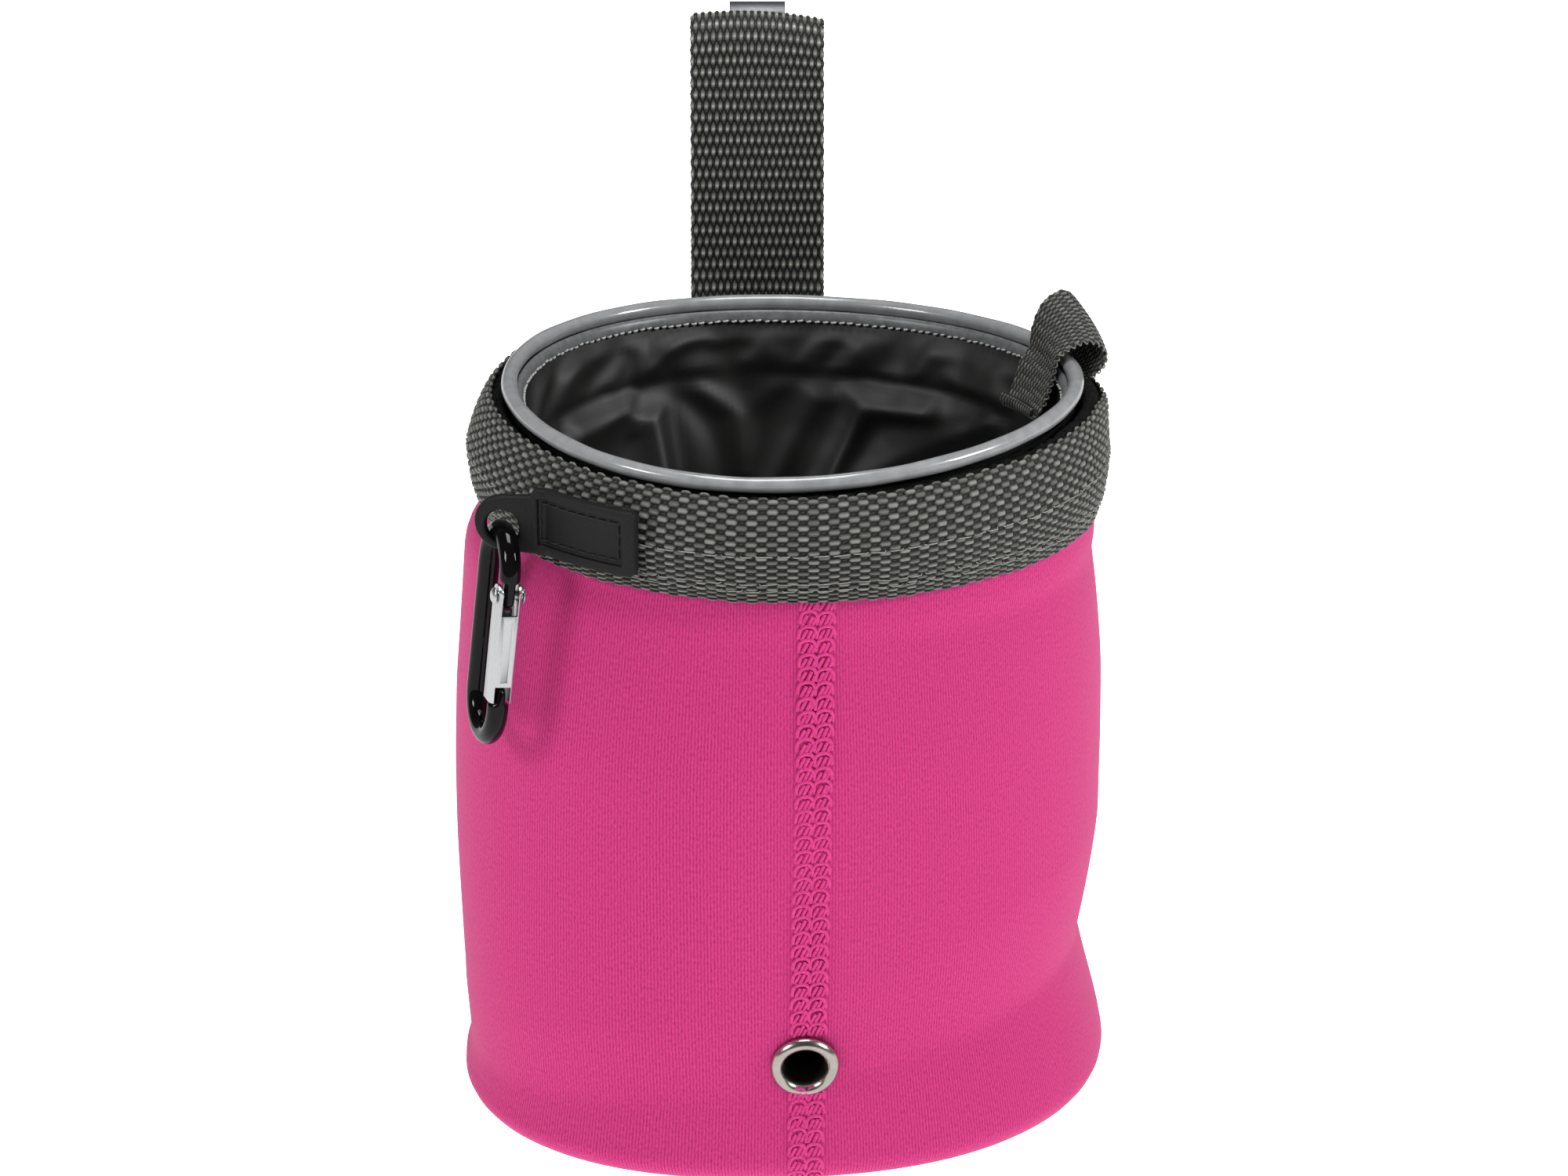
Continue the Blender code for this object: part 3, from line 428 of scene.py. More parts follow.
def along(line, share):
    """Places at shares of a line's length."""
    lengths = np.concatenate(([0], np.cumsum(step_lengths(line))))
    return np.stack([np.interp(share * lengths[-1], lengths, column) for column in line.T], axis=-1)


print("a corner of 3 points becomes a curve of", len(rounded([(0, 0), (1, 0), (1, 1)])))

# %% [markdown]
# ## Grids that are bent into place
# Cloth, tape and foam start as flat goods and are bent and sewn. A flat grid does the same here: its
# points are moved to their places, the edges that meet are welded, and its own flat map stays on it for
# the patterns. An attribute can be kept with the points, which the webbing uses for its colour with
# painted shade and highlights.

# %% Bent grids
WELD_GAP = 0.000004


def bent_grid(name, columns, rows, place, heights=None):
    """Flat grid whose points, u and v from 0 to 1, are moved to their places in millimetres and welded."""
    bpy.ops.object.select_all(action='DESELECT')
    bpy.ops.mesh.primitive_grid_add(x_subdivisions=columns, y_subdivisions=rows, size=1)
    piece = bpy.context.object
    piece.name = piece.data.name = name
    flat = np.empty(len(piece.data.vertices) * 3, np.float32)
    piece.data.vertices.foreach_get("co", flat)
    u, v = (flat.reshape(-1, 3)[:, :2].astype(float) + 0.5).T
    piece.data.vertices.foreach_set("co", (place(u, v) * MM).astype(np.float32).ravel())
    if heights:
        # For the webbing these values are its paleness: painted shade and highlights that follow the weave.
        values = piece.data.attributes.new("weave_shading_and_tone", 'FLOAT', 'POINT')
        values.data.foreach_set("value", heights(u, v).astype(np.float32))
    bpy.ops.object.mode_set(mode='EDIT')
    bpy.ops.mesh.select_all(action='SELECT')
    bpy.ops.mesh.remove_doubles(threshold=WELD_GAP)
    bpy.ops.mesh.normals_make_consistent(inside=False)
    bpy.ops.object.mode_set(mode='OBJECT')
    bpy.ops.object.shade_smooth()
    return piece


def close_ends():
    """Fills the open ends of the active piece."""
    bpy.ops.object.mode_set(mode='EDIT')
    bpy.ops.mesh.select_all(action='SELECT')
    bpy.ops.mesh.fill_holes(sides=0)
    bpy.ops.object.mode_set(mode='OBJECT')


print("points closer than", WELD_GAP / MM, "mm are welded")

# %% [markdown]
# ## Threads and finished pieces
# A sewing thread is a thin round rod along a line. A curve with a bevel gives it in one go, and as a
# mesh it can be exported. Each finished piece then gets its material, and is told which moving body it
# belongs to and which CAD solids it stands for.


# %% Threads and finished pieces
def threads(name, lines, radius, resolution=1):
    """Round threads along lines of points in millimetres, as one mesh."""
    path = bpy.data.curves.new(name, 'CURVE')
    path.dimensions = '3D'
    path.bevel_depth = radius * MM
    path.bevel_resolution = resolution
    path.use_fill_caps = True
    for line in lines:
        spline = path.splines.new('POLY')
        spline.points.add(len(line) - 1)
        places = np.column_stack((np.array(line) * MM, np.ones(len(line))))
        spline.points.foreach_set("co", places.ravel())
    piece = bpy.data.objects.new(name, path)
    bpy.context.collection.objects.link(piece)
    bpy.ops.object.select_all(action='DESELECT')
    piece.select_set(True)
    bpy.context.view_layer.objects.active = piece
    bpy.ops.object.convert(target='MESH')
    bpy.ops.object.shade_smooth()
    return bpy.context.object


def place_piece(piece, material, slot, body, *nodes):
    """Gives a piece its material, lets it ride on a body and hides the CAD nodes it stands for. The slot is
    not used.
    """
    piece.data.materials.clear()
    piece.data.materials.append(material)
    if body:
        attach(piece, body)
    if nodes:
        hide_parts(*nodes)
    print(piece.name, len(piece.data.polygons), "faces")
    return piece


# %% [markdown]
# ## Knit on neoprene
# The outer bag is foam rubber with a pink knit glued to it. The knit shows fine upright ribs, its
# wales, and the flecks of its yarn. Modelling each stitch would take millions of faces, so the wales
# are a wave on the bag's own flat map and the flecks are noise, both sized in millimetres, with a
# slight relief. The wave also darkens the colour in the grooves between the wales as painted shade.

# %% Knit-faced neoprene
MEAN_RADIUS = 56.5
WALL_LENGTH = 2 * math.pi * MEAN_RADIUS
SECTION_LENGTH = 265
WALE_PITCH = 0.58
FLECK = (0.34, 0.7)
# One wave of the wave texture is this long at a scale of 1.
UNSCALED_WAVE = 2 * math.pi / 20
GROOVE_POWER = 0.45
GROOVE_SHARE = 0.45
KNIT_RELIEF = 0.0001
# Dyed polyester knit: a dull, strong pink with painted shade in its fine grooves and a slightly pale, fluffy
# edge.
neoprene, shader = new_material("pink knit neoprene", Roughness=0.85, Specular_IOR_Level=0.15,
                                Sheen_Weight=0.06, Sheen_Roughness=0.4)
unwrapped = add_node(neoprene, "ShaderNodeUVMap", uv_map="UVMap")
in_mm = add_node(neoprene, "ShaderNodeVectorMath", {
    0: unwrapped.outputs[0], 1: (WALL_LENGTH, SECTION_LENGTH, 0)}, operation='MULTIPLY')
wales = add_node(neoprene, "ShaderNodeTexWave", {
    "Vector": in_mm.outputs[0], "Scale": UNSCALED_WAVE / WALE_PITCH, "Distortion": 1.0, "Detail": 2.0,
    "Detail Scale": 1.2})
at_flecks = add_node(neoprene, "ShaderNodeVectorMath", {
    0: unwrapped.outputs[0], 1: (WALL_LENGTH / FLECK[0], SECTION_LENGTH / FLECK[1], 0)},
    operation='MULTIPLY')
flecks = add_node(neoprene, "ShaderNodeTexNoise", {
    "Vector": at_flecks.outputs[0], "Scale": 1.0, "Detail": 3.0})
grooves = add_node(neoprene, "ShaderNodeMath", {0: wales.outputs["Fac"], 1: GROOVE_POWER}, operation='POWER')
# The tone is the flecks' own random tone plus painted shade from the wave, which darkens the grooves between
# the wales.
knit = add_node(neoprene, "ShaderNodeMath", {
    0: grooves.outputs[0], 1: GROOVE_SHARE, 2: flecks.outputs["Fac"]}, operation='MULTIPLY_ADD')
tone_ramp = add_node(neoprene, "ShaderNodeValToRGB", {"Fac": knit.outputs[0]},
               stops=[(0.38, "#861650"), (1.0, "#BB3471")])
relief = add_node(neoprene, "ShaderNodeBump", {
    "Height": knit.outputs[0], "Strength": 0.35, "Distance": KNIT_RELIEF})
neoprene.node_tree.links.new(tone_ramp.outputs[0], shader.inputs["Base Color"])
neoprene.node_tree.links.new(relief.outputs[0], shader.inputs["Normal"])
print("knit has", round(WALL_LENGTH / WALE_PITCH), "wales round the bag")

# %% [markdown]
# ## Wall of the outer bag
# The wall is one strip of foam, sewn into a tube and turned in at the foot. A tube could be given a
# thickness by a modifier, but the foot and the top edge have their own shapes. So a whole section is
# drawn, from under the base, round the soft corner, up the wall and back down the inside, and a grid is
# bent along it.

# %% Wall of the outer bag
CORNER_ARC = [(CORNER_START + CORNER * math.sin(a), CORNER - CORNER * math.cos(a))
              for a in np.linspace(0, 1.57, 8)]
OUTSIDE = [(57.2, z) for z in np.linspace(6, 121.6, 90)]
TOP_EDGE = [(56, 122.4), (54.6, 122.4)]
INSIDE = [(54.2, z) for z in np.linspace(121.6, 5, 60)]
SECTION = np.array([(48, 0)] + CORNER_ARC + OUTSIDE + TOP_EDGE + INSIDE + [(52.2, 3), (48, 3), (48, 0)])
WALL_THICKNESS = 3
NECK_INSIDE = 50.6


def shell_place(u, v):
    """Places on the wall's section; its inside stays clear of the loop tape at the neck."""
    turn = around(u)
    section = along(SECTION, v)
    nominal, z = section[:, 0], section[:, 1]
    outside = ease(54.3, 56.9, nominal)
    outer = wall_radius(np.minimum(z, WALL_HEIGHTS[-1]))
    inner = np.maximum(outer - WALL_THICKNESS, np.where(z > 90, NECK_INSIDE, 0))
    radius = np.where(z < CORNER + 0.01, nominal, mix(inner, outer, outside))
    slack = 0.25 * np.sin(3 * turn + z / 17) * np.sin(z / 23 + 1) * ease(5, 30, z) * ease(104, 90, z)
    return wall_place(radius - waist_dip(turn, z) * ease(3, 6, z) + slack, turn, z)


shell = bent_grid("neoprene_wall", 288, 200, shell_place)
print("wall has", len(shell.data.vertices), "points")

# %% [markdown]
# ## Straight wales
# A knit's wales run straight up the bag, whatever its plan does. The grid's own map would bend them at
# the neck, where the plan changes. So the map is moved sideways until it follows the angle round the
# bag's axis.


# %% Straight wales
def straighten_wales(piece):
    """Moves the unwrapped wall sideways, so that its wales run straight up although its plan changes."""
    points = np.empty(len(piece.data.vertices) * 3, np.float32)
    piece.data.vertices.foreach_get("co", points)
    x, y, _ = points.reshape(-1, 3).T
    corner_points = np.empty(len(piece.data.loops), np.int32)
    piece.data.loops.foreach_get("vertex_index", corner_points)
    layer = piece.data.uv_layers["UVMap"].data
    places = np.empty(len(layer) * 2, np.float32)
    layer.foreach_get("uv", places)
    places = places.reshape(-1, 2)
    moved = (np.arctan2(y, x) / (2 * math.pi) - 0.25)[corner_points] - places[:, 0]
    moved = moved - np.round(moved)
    places[:, 0] += moved
    layer.foreach_set("uv", places.ravel())
    print("wales moved by up to", round(float(np.abs(moved).max()) * WALL_LENGTH, 1), "mm")


straighten_wales(shell)

# %% [markdown]
# ## Hole for the eyelet
# A punch cuts a round hole low in the front, on the seam, and the eyelet is set in it. A boolean cut
# would leave long thin faces in the wall's fine grid. The eyelet covers the hole's edge, so the faces
# inside the eyelet are just deleted, and the edges of the two skins are bridged to close the foam.

# %% Hole for the eyelet
FRONT_SEAM_X = (3.65, 5.7)
EYELET_HEIGHT = 21.9
EYELET_DROOP = math.radians(13)
EYELET_CUT_RADIUS = 4.6
EYELET_CUT_DEPTH = 8
eyelet_turn = float(front_turn(FRONT_SEAM_X[0], EYELET_HEIGHT))
eyelet_middle = Vector(wall_point(eyelet_turn, np.array(EYELET_HEIGHT))) * MM
eyelet_out = Vector((math.cos(eyelet_turn) * math.cos(EYELET_DROOP),
                     math.sin(eyelet_turn) * math.cos(EYELET_DROOP), -math.sin(EYELET_DROOP)))


def select_only(piece, kind, wanted):
    """Selects, in edit mode, only the faces or edges that a test wants."""
    bpy.ops.object.mode_set(mode='EDIT')
    bpy.ops.mesh.select_mode(type=kind)
    bpy.ops.mesh.select_all(action='DESELECT')
    bpy.ops.object.mode_set(mode='OBJECT')
    for part in piece.data.polygons if kind == 'FACE' else piece.data.edges:
        part.select = wanted(part)
    bpy.ops.object.mode_set(mode='EDIT')


def in_hole(face):
    """True for a face inside the eyelet."""
    way = face.center - eyelet_middle
    depth = way.dot(eyelet_out)
    aside = (way - eyelet_out * depth).length
    return abs(depth) < EYELET_CUT_DEPTH * MM and aside < EYELET_CUT_RADIUS * MM


select_only(shell, 'FACE', in_hole)
bpy.ops.mesh.delete(type='FACE')
bpy.ops.mesh.select_mode(type='EDGE')
bpy.ops.mesh.select_all(action='DESELECT')
bpy.ops.mesh.select_non_manifold()
bpy.ops.mesh.bridge_edge_loops()
bpy.ops.object.mode_set(mode='OBJECT')
place_piece(shell, neoprene, "pink_neoprene", "pouch", "outer_shell")
print("eyelet's middle", [round(v / MM, 2) for v in eyelet_middle])

# %% [markdown]
# ## Base panel
# The bottom is an oval of the same foam, sewn to the turned-in foot of the wall. It could be a flat
# disc, but a bag that stands is a little hollow under its middle. Half a section with a rounded edge is
# turned round the bag's oval, and the panel is stretched flat, so its cut size is nearly its own size.

# %% Base panel
BASE_SECTION = rounded([(0, 0.6), (25, 0.5), (46.5, 0.0), (47.7, 0.0), (47.7, 3.0), (46.5, 3.0), (0, 3.0)])


def base_place(u, v):
    """Places on the panel's half section, turned round the bag's oval."""
    section = along(BASE_SECTION, v)
    return bag_point(section[:, 0], around(u), section[:, 1])


base = bent_grid("neoprene_base", 96, 40, base_place)
place_piece(base, neoprene, "pink_neoprene", "pouch", "base_panel")

# %% [markdown]
# ## Coverstitch seam
# The wall's two edges meet at the front and a coverstitch machine joins them. In each of two columns a
# looper thread makes an arch at every stitch, and slanting strands fill it. A bump could fake it, but
# the seam stands out of the wall in the photograph. So every strand is a real thread, a little out of
# place, as sewn ones are.

# %% One stitch of the seam
STITCH = 2.5
COLUMN = 2.95
# Points of one stitch's threads: across from the column's left edge, up, and lift off the wall.
LOOP = [(0.0, -1.9, -0.05), (0.0, -0.9, 0.1), (0.3, -0.1, 0.15), (1.1, 0.28, 0.2), (2.0, 0.3, 0.2),
        (2.65, -0.1, 0.15), (2.95, -0.9, 0.1), (2.95, -1.9, -0.05)]
STRANDS = [[(0.4, -2.2, -0.05), (0.8, -1.3, 0.12), (1.3, -0.35, 0.05)],
           [(1.25, -2.25, -0.05), (1.7, -1.2, 0.16), (2.15, -0.3, 0.05)],
           [(2.05, -2.2, -0.05), (2.4, -1.5, 0.1), (2.7, -0.8, 0.05)]]
SEAM_TOP = 107.4


def seam_x(z):
    """X of the seam's middle, which leans a little."""
    return mix(*FRONT_SEAM_X, z / SEAM_TOP)


def seam_point(across, z, lift):
    """Place at a distance to the right of the seam's middle."""
    z = np.array(z, float)
    return wall_point(front_turn(seam_x(z) + across, z), z, lift)


print("one stitch has", 1 + len(STRANDS), "threads in each column")

# %% Seam threads
SEAM_HEIGHTS = (2.6, 109.5)
CLEAR_ABOVE = 6.0
CLEAR_BELOW = 4.3
SEAM_THREAD_RADIUS = 0.36
# Spun polyester thread: as dull as the knit and a shade brighter, so it shows mostly by its shadows.
seam_thread = grained("pink polyester seam thread", 0.4, ("#AE2868", "#C93E80"), 0.05, Roughness=0.8,
                      Specular_IOR_Level=0.2)
stitch_heights = [z for z in np.arange(*SEAM_HEIGHTS, STITCH)
                  if not -CLEAR_BELOW < z - EYELET_HEIGHT < CLEAR_ABOVE]
lines = []
for z in stitch_heights:
    for left in (-COLUMN, 0):
        for strand in [LOOP] + STRANDS:
            jog = random.uniform(-0.22, 0.22)
            shift = random.uniform(-0.12, 0.12)
            lines.append([seam_point(left + across + shift, z + up + jog, lift)
                          for across, up, lift in rounded(strand, 1)])
seam = threads("front_coverstitch", lines, SEAM_THREAD_RADIUS)
place_piece(seam, seam_thread, "pink_seam_thread", "pouch", "front_seam_upper", "front_seam_lower")

# %% [markdown]
# ## Plain weave
# Band, strap and pull tab are coarse grey webbing in plain weave: each warp end rises over one weft and
# dives under the next, and its neighbours do the opposite. Thousands of separate yarns would be heavy,
# and a bump would leave the edges straight. A fine grid with points where a yarn's height changes gives
# real relief.

# %% Heights of a plain weave
SAMPLES = (0, 0.25, 0.5, 0.75, 1)
WEFT_SAMPLES = (0, 0.36, 0.5, 0.64, 1)
END_SAMPLES = (0, 0.2, 0.5, 0.8, 1)
DIVE_DEPTH = 0.9
# Half widths of the spots of painted highlight on the yarns.
GLINT_HALF = 0.3
BEAD_HIGHLIGHT_HALF = 0.14
WEFT_HALF = 0.36


def sampled(count, shares):
    """Moves four even samples of each thread to the shares where its height changes."""
    whole = np.floor(count + 1e-6)
    return whole + np.interp(count - whole, SAMPLES, shares)


def weave(wefts, ends, flat=0.36, dive=0.64, half_width=0.56, unlike=0.12):
    """Height, and paleness with painted shade and highlights, from 0 to 1, at counts of wefts along the tape
    and of warp ends across it.
    """
    height = np.zeros(np.broadcast(wefts, ends).shape)
    pale = height.copy()
    for end in (np.floor(ends - 0.5), np.floor(ends - 0.5) + 1):
        from_crown = np.abs((wefts + end) % 2 - 1)
        off = np.abs(ends - end - 0.5)
        over = 1 - DIVE_DEPTH * ease(flat, dive, from_crown)
        float_yarn = over * np.sqrt(np.clip(1 - (off / half_width) ** 2, 0, 1))
        # Painted highlights: a pale bead where a float slopes down, and a glint on the weft in each hollow.
        middle = np.clip(1 - off / GLINT_HALF, 0, 1)
        bead_highlight = middle * np.clip(1 - np.abs(from_crown - 0.5) / BEAD_HIGHLIGHT_HALF, 0, 1)
        weft_glint = middle * np.clip(1 - (1 - from_crown) / WEFT_HALF, 0, 1)
        # Steps that fit no whole turn give each yarn a tone that looks random.
        uneven = unlike * np.sin(12.9898 * np.round(wefts) + 78.233 * end)
        height = np.maximum(height, float_yarn)
        # Paleness follows each float's height, so crowns are painted light and hollows painted shade; the
        # random tone is the yarn's own.
        pale = np.maximum(pale, np.maximum(float_yarn * (0.75 + uneven) + 0.3 * bead_highlight, 0.4 * weft_glint))
    return height, pale


print("a yarn's crown has the height", round(float(weave(np.array(1.0), np.array(0.5))[0]), 2))

# %% [markdown]
# ## Woven tape
# A tape has two woven faces and rounded, slightly scalloped edges where the weft turns back. One
# function weaves any tape: it is told how many wefts and ends there are, and a second function tells it
# where the tape runs.

# %% Woven tape
SCALLOP = 0.2


def woven(name, wefts, ends, spot, thickness, rise=0.5, back_rows=None, round_edge=0.02, **yarn):
    """Webbing; spot gives the place at a share along it, a share across it and a lift off it."""
    face_rows = ends * 4
    back_rows = back_rows or face_rows
    turn_over = face_rows / (face_rows + back_rows)

    def sides(u, v):
        """Whether a point is on the face, its counts of wefts and ends, and the weave there."""
        face = v <= turn_over + 1e-6
        across = np.where(face, v / turn_over, (1 - v) / (1 - turn_over))
        weft, end = sampled(u * wefts, WEFT_SAMPLES), sampled(across * ends, END_SAMPLES)
        return face, weft, end, *weave(weft, end, **yarn)

    def place(u, v):
        """Places on the tape, which is thinner and scalloped at its edges."""
        face, weft, end, height, _ = sides(u, v)
        across = end / ends
        raised = rise * (height - 1)
        edge = np.minimum(across, 1 - across)
        full = np.sqrt(np.clip(edge / round_edge, 0, 1))
        lift = mix(-thickness / 2, np.where(face, raised, -thickness - raised), full)
        bump = SCALLOP / ends * np.cos(2 * math.pi * weft) * (1 - ease(0, 2 / ends, edge))
        return spot(weft / wefts, across + np.where(across < 0.5, -bump, bump), lift)

    print(name, "has", wefts, "wefts and", ends, "warp ends")
    # The weave's paleness, painted shade and highlights, is kept on the points.
    return bent_grid(name, wefts * 4, face_rows + back_rows, place, lambda u, v: sides(u, v)[4])


# %% [markdown]
# ## Webbing's colour and painted shade
# The yarns are bundles of grey polypropylene filaments, each a little lighter or darker at random. Their
# crowns are painted pale as highlights and the hollows between them almost black as painted shade. This
# paleness, worked out by the weave, is kept as an attribute on the points, so that the painted light
# always agrees with the relief, and noise drawn out along the yarns gives the filaments.

# %% Webbing's colour
# Grains of noise for each millimetre along and across the tape.
FILAMENTS_ALONG = 0.8
FILAMENTS_ACROSS = 9
FILAMENT_RELIEF = 0.0001


def webbing_material(name, length, width, tones=("#12120F", "#4A4A47", "#84847E")):
    """Polypropylene webbing: a waxy grey, with painted shade between its yarns and painted highlights on
    their crowns, and fine filaments along them.
    """
    material, shader = new_material(name, Roughness=0.62, Specular_IOR_Level=0.35)
    # Paleness of the weave: painted highlights on crowns, painted shade in hollows and each yarn's own
    # random tone.
    height = add_node(material, "ShaderNodeAttribute", attribute_name="weave_shading_and_tone")
    unwrapped = add_node(material, "ShaderNodeUVMap", uv_map="UVMap")
    yarns = add_node(material, "ShaderNodeVectorMath", {
        0: unwrapped.outputs[0], 1: (length * FILAMENTS_ALONG, width * FILAMENTS_ACROSS, 0)},
        operation='MULTIPLY')
    filaments = add_node(material, "ShaderNodeTexNoise", {
        "Vector": yarns.outputs[0], "Scale": 1.0, "Detail": 2.0})
    tone = add_node(material, "ShaderNodeMath", {0: filaments.outputs["Fac"], 1: 0.3, 2: -0.15},
                    operation='MULTIPLY_ADD')
    painted_shade_and_grain = add_node(material, "ShaderNodeMath", {
        0: height.outputs["Fac"], 1: tone.outputs[0]}, operation='ADD')
    tone_ramp = add_node(material, "ShaderNodeValToRGB", {"Fac": painted_shade_and_grain.outputs[0]},
                   # The darkest tone is painted shade between the yarns and the palest is painted highlight.
                   stops=[(0.15, tones[0]), (0.95, tones[2]), (0.55, tones[1])])
    relief = add_node(material, "ShaderNodeBump", {
        "Height": filaments.outputs["Fac"], "Strength": 0.5, "Distance": FILAMENT_RELIEF})
    material.node_tree.links.new(tone_ramp.outputs[0], shader.inputs["Base Color"])
    material.node_tree.links.new(relief.outputs[0], shader.inputs["Normal"])
    print(name, "goes from", tones[0], "to", tones[2])
    return material


# %% [markdown]
# ## Band round the mouth
# A webbing band is sewn round the top of the wall and rolls over its edge. It could be a plain ring,
# but sewn webbing leans, bulges and is pushed out where the pull tab passes. Its section is drawn as a
# line outside the rim, and a few smooth steps round the mouth give it those leanings.

# %% Band round the mouth
TAB_TURN = math.radians(17)
BAND_LINE = rounded([(5.0, 107.2), (5.7, 109.5), (6.7, 113), (7.0, 116.6), (6.7, 120.4), (6.1, 123.2),
                     (5.5, 124.6), (4.8, 125.3), (4.2, 125.1)])
BAND_WEFTS = 198
BAND_ENDS = 28
BAND_THICKNESS = 1.4
BAND_LENGTH = 345.0
BAND_WIDTH = 23
LOWER_CROWDING = 1.3
BAND_SHIFT = 0.8
TAB_PUSH = 1.2
LEAN_LEFT = 2.2
LEAN_FRONT = 0.8


def line_way(route, share, step):
    """Direction of a route at shares of its length, measured over a step to either side."""
    way = along(route, np.minimum(share + step, 1)) - along(route, np.maximum(share - step, 0))
    return way / np.linalg.norm(way, axis=-1, keepdims=True)


def band_spot(u, across, lift):
    """Places on the band; it is pushed out beside the tab and leans in at the left and front."""
    turn = around(u)
    share = np.clip(across, 0, 1) ** LOWER_CROWDING
    here = along(BAND_LINE, share)
    way = line_way(BAND_LINE, share, 0.01)
    beside_tab = 1 - ease(0.2, 0.45, np.abs((turn - TAB_TURN + math.pi) % (2 * math.pi) - math.pi))
    pushed = TAB_PUSH * beside_tab * ease(0.7, 1, across)
    left, front = np.clip(-np.cos(turn), 0, 1), np.clip(-np.sin(turn), 0, 1)
    upper = ease(0.5, 1, across)
    out = here[..., 0] + lift * way[..., 1] - BAND_SHIFT * np.cos(turn) + pushed
    out = out - (LEAN_LEFT * left + LEAN_FRONT * front) * upper
    z = here[..., 1] - lift * way[..., 0] - pushed + (left + LEAN_FRONT * front) * upper
    z = z + 0.14 * np.sin(19 * turn) * np.sin(7 * turn + 1)
    return mouth_point(out, turn, z + band_lift(turn, z))


band = woven("band_webbing", BAND_WEFTS, BAND_ENDS, band_spot, BAND_THICKNESS, back_rows=8)
band_webbing = webbing_material("grey band webbing", BAND_LENGTH, BAND_WIDTH)
place_piece(band, band_webbing, "grey_webbing", "pouch", "top_band")

# %% [markdown]
# ## Stitching on the band
# Rows of lockstitch hold the band, one over its middle and two near its foot. A dashed line in the
# colour would lie flat, so each stitch is a short thread whose ends sink between the yarns. Lengths and
# gaps vary, because the machine feeds coarse webbing unevenly.

# %% Stitching on the band
STITCH_ROWS = (0.57, 0.3, 0.215)
BAND_STITCH = (1.7, 3.0)
BAND_STITCH_GAP = (0.3, 1.1)
BAND_THREAD_RADIUS = 0.1
SUNK_ENDS = ((0, -0.35), (0.12, 0.05), (0.88, 0.05), (1, -0.35))
# Spun polyester thread, paler than the webbing: thin broken lines that catch the light.
stitch_thread = grained("grey polyester sewing thread", 0.5, ("#6A6A65", "#92928C"), Roughness=0.7)


def band_stitches(across):
    """Row of uneven stitches round the band at one share of its width, as lines of points."""
    found = []
    at = 0.0
    while at < BAND_LENGTH - 4:
        length = random.uniform(*BAND_STITCH)
        wander = [across + random.uniform(-0.006, 0.006) for _ in range(4)]
        found.append([band_spot(np.array((at + length * t) / BAND_LENGTH), np.array(spread), np.array(lift))
                      for (t, lift), spread in zip(SUNK_ENDS, wander)])
        at += length + random.uniform(*BAND_STITCH_GAP)
    return found


rows = [line for across in STITCH_ROWS for line in band_stitches(across)]
stitching = threads("band_stitching", rows, BAND_THREAD_RADIUS)
place_piece(stitching, stitch_thread, "grey_webbing", "pouch")

# %% [markdown]
# ## Belt strap
# A strip of webbing is folded double into a belt loop, and both ends are sewn to the band behind. Two
# flat strips would not show the fold, so one tape runs up, over and down again along a line.

# %% Belt strap
STRAP_X = -4.8
WEBBING_WIDTH = 23.9
STRAP_THICKNESS = 1.5
STRAP_LINE = rounded([(56.0, 108.5), (56.0, 122), (56.4, 128), (56.6, 134), (56.6, 150), (56.6, 168),
                      (56.7, 173), (57.8, 176.4), (60.5, 177.9), (63.2, 176.4), (64.3, 173), (64.4, 168),
                      (64.4, 150), (64.2, 143), (61.8, 138), (59.0, 134), (58.2, 130), (58.0, 126),
                      (57.7, 120), (57.7, 109)])
STRAP_LENGTH = float(step_lengths(STRAP_LINE).sum())
STRAP_WEFT_PITCH = 2.12
STRAP_WEFTS = round(STRAP_LENGTH / STRAP_WEFT_PITCH)
STRAP_ENDS = 38
FOOT_WRAP = 2.6
FOOT_HALF = 12.25
FOLD_HALF = 12


def strap_spot(u, across, lift):
    """Places on the strap, which follows the band's curve at its foot and droops at the fold's corners."""
    here = along(STRAP_LINE, u)
    way = line_way(STRAP_LINE, u, 0.004)
    side = (across - 0.5) * WEBBING_WIDTH
    wrap = 0.5 * (side / FOOT_HALF) ** 2 * FOOT_WRAP * ease(134, 124, here[..., 1])
    y = here[..., 0] - (lift + STRAP_THICKNESS / 2) * way[..., 1] - wrap
    tilt = side / FOLD_HALF
    z = here[..., 1] + (lift + STRAP_THICKNESS / 2) * way[..., 0]
    z = z - (tilt ** 2 + 0.5 * tilt) * ease(163, 177, here[..., 1])
    return np.stack(np.broadcast_arrays(STRAP_X + side, y, z), axis=-1)


strap = woven("strap_webbing", STRAP_WEFTS, STRAP_ENDS, strap_spot, STRAP_THICKNESS,
              back_rows=2 * STRAP_ENDS, flat=0.14, dive=0.48, half_width=0.68, unlike=0.05)
close_ends()
strap_webbing = webbing_material("grey strap webbing", STRAP_LENGTH, WEBBING_WIDTH,
                                 ("#0E0E0D", "#6E6E69", "#CACAC2"))
place_piece(strap, strap_webbing, "grey_webbing", None, "belt_strap", "strap_anchor")
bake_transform(strap)

# %% [markdown]
# ## Box stitch at the strap's foot
# A strap that carries weight is sewn down with a box and a cross. The stitches are laid by two numbers,
# the distance from the tape's end and the share across it, so that the strap's own function puts them
# on its back.

# %% Box stitch at the strap's foot
FOOT_STITCH = 2.4
FOOT_THREAD_RADIUS = 0.2
FOOT_BOX = [(2.2, 0.12), (2.2, 0.88), (13.5, 0.88), (13.5, 0.12)]


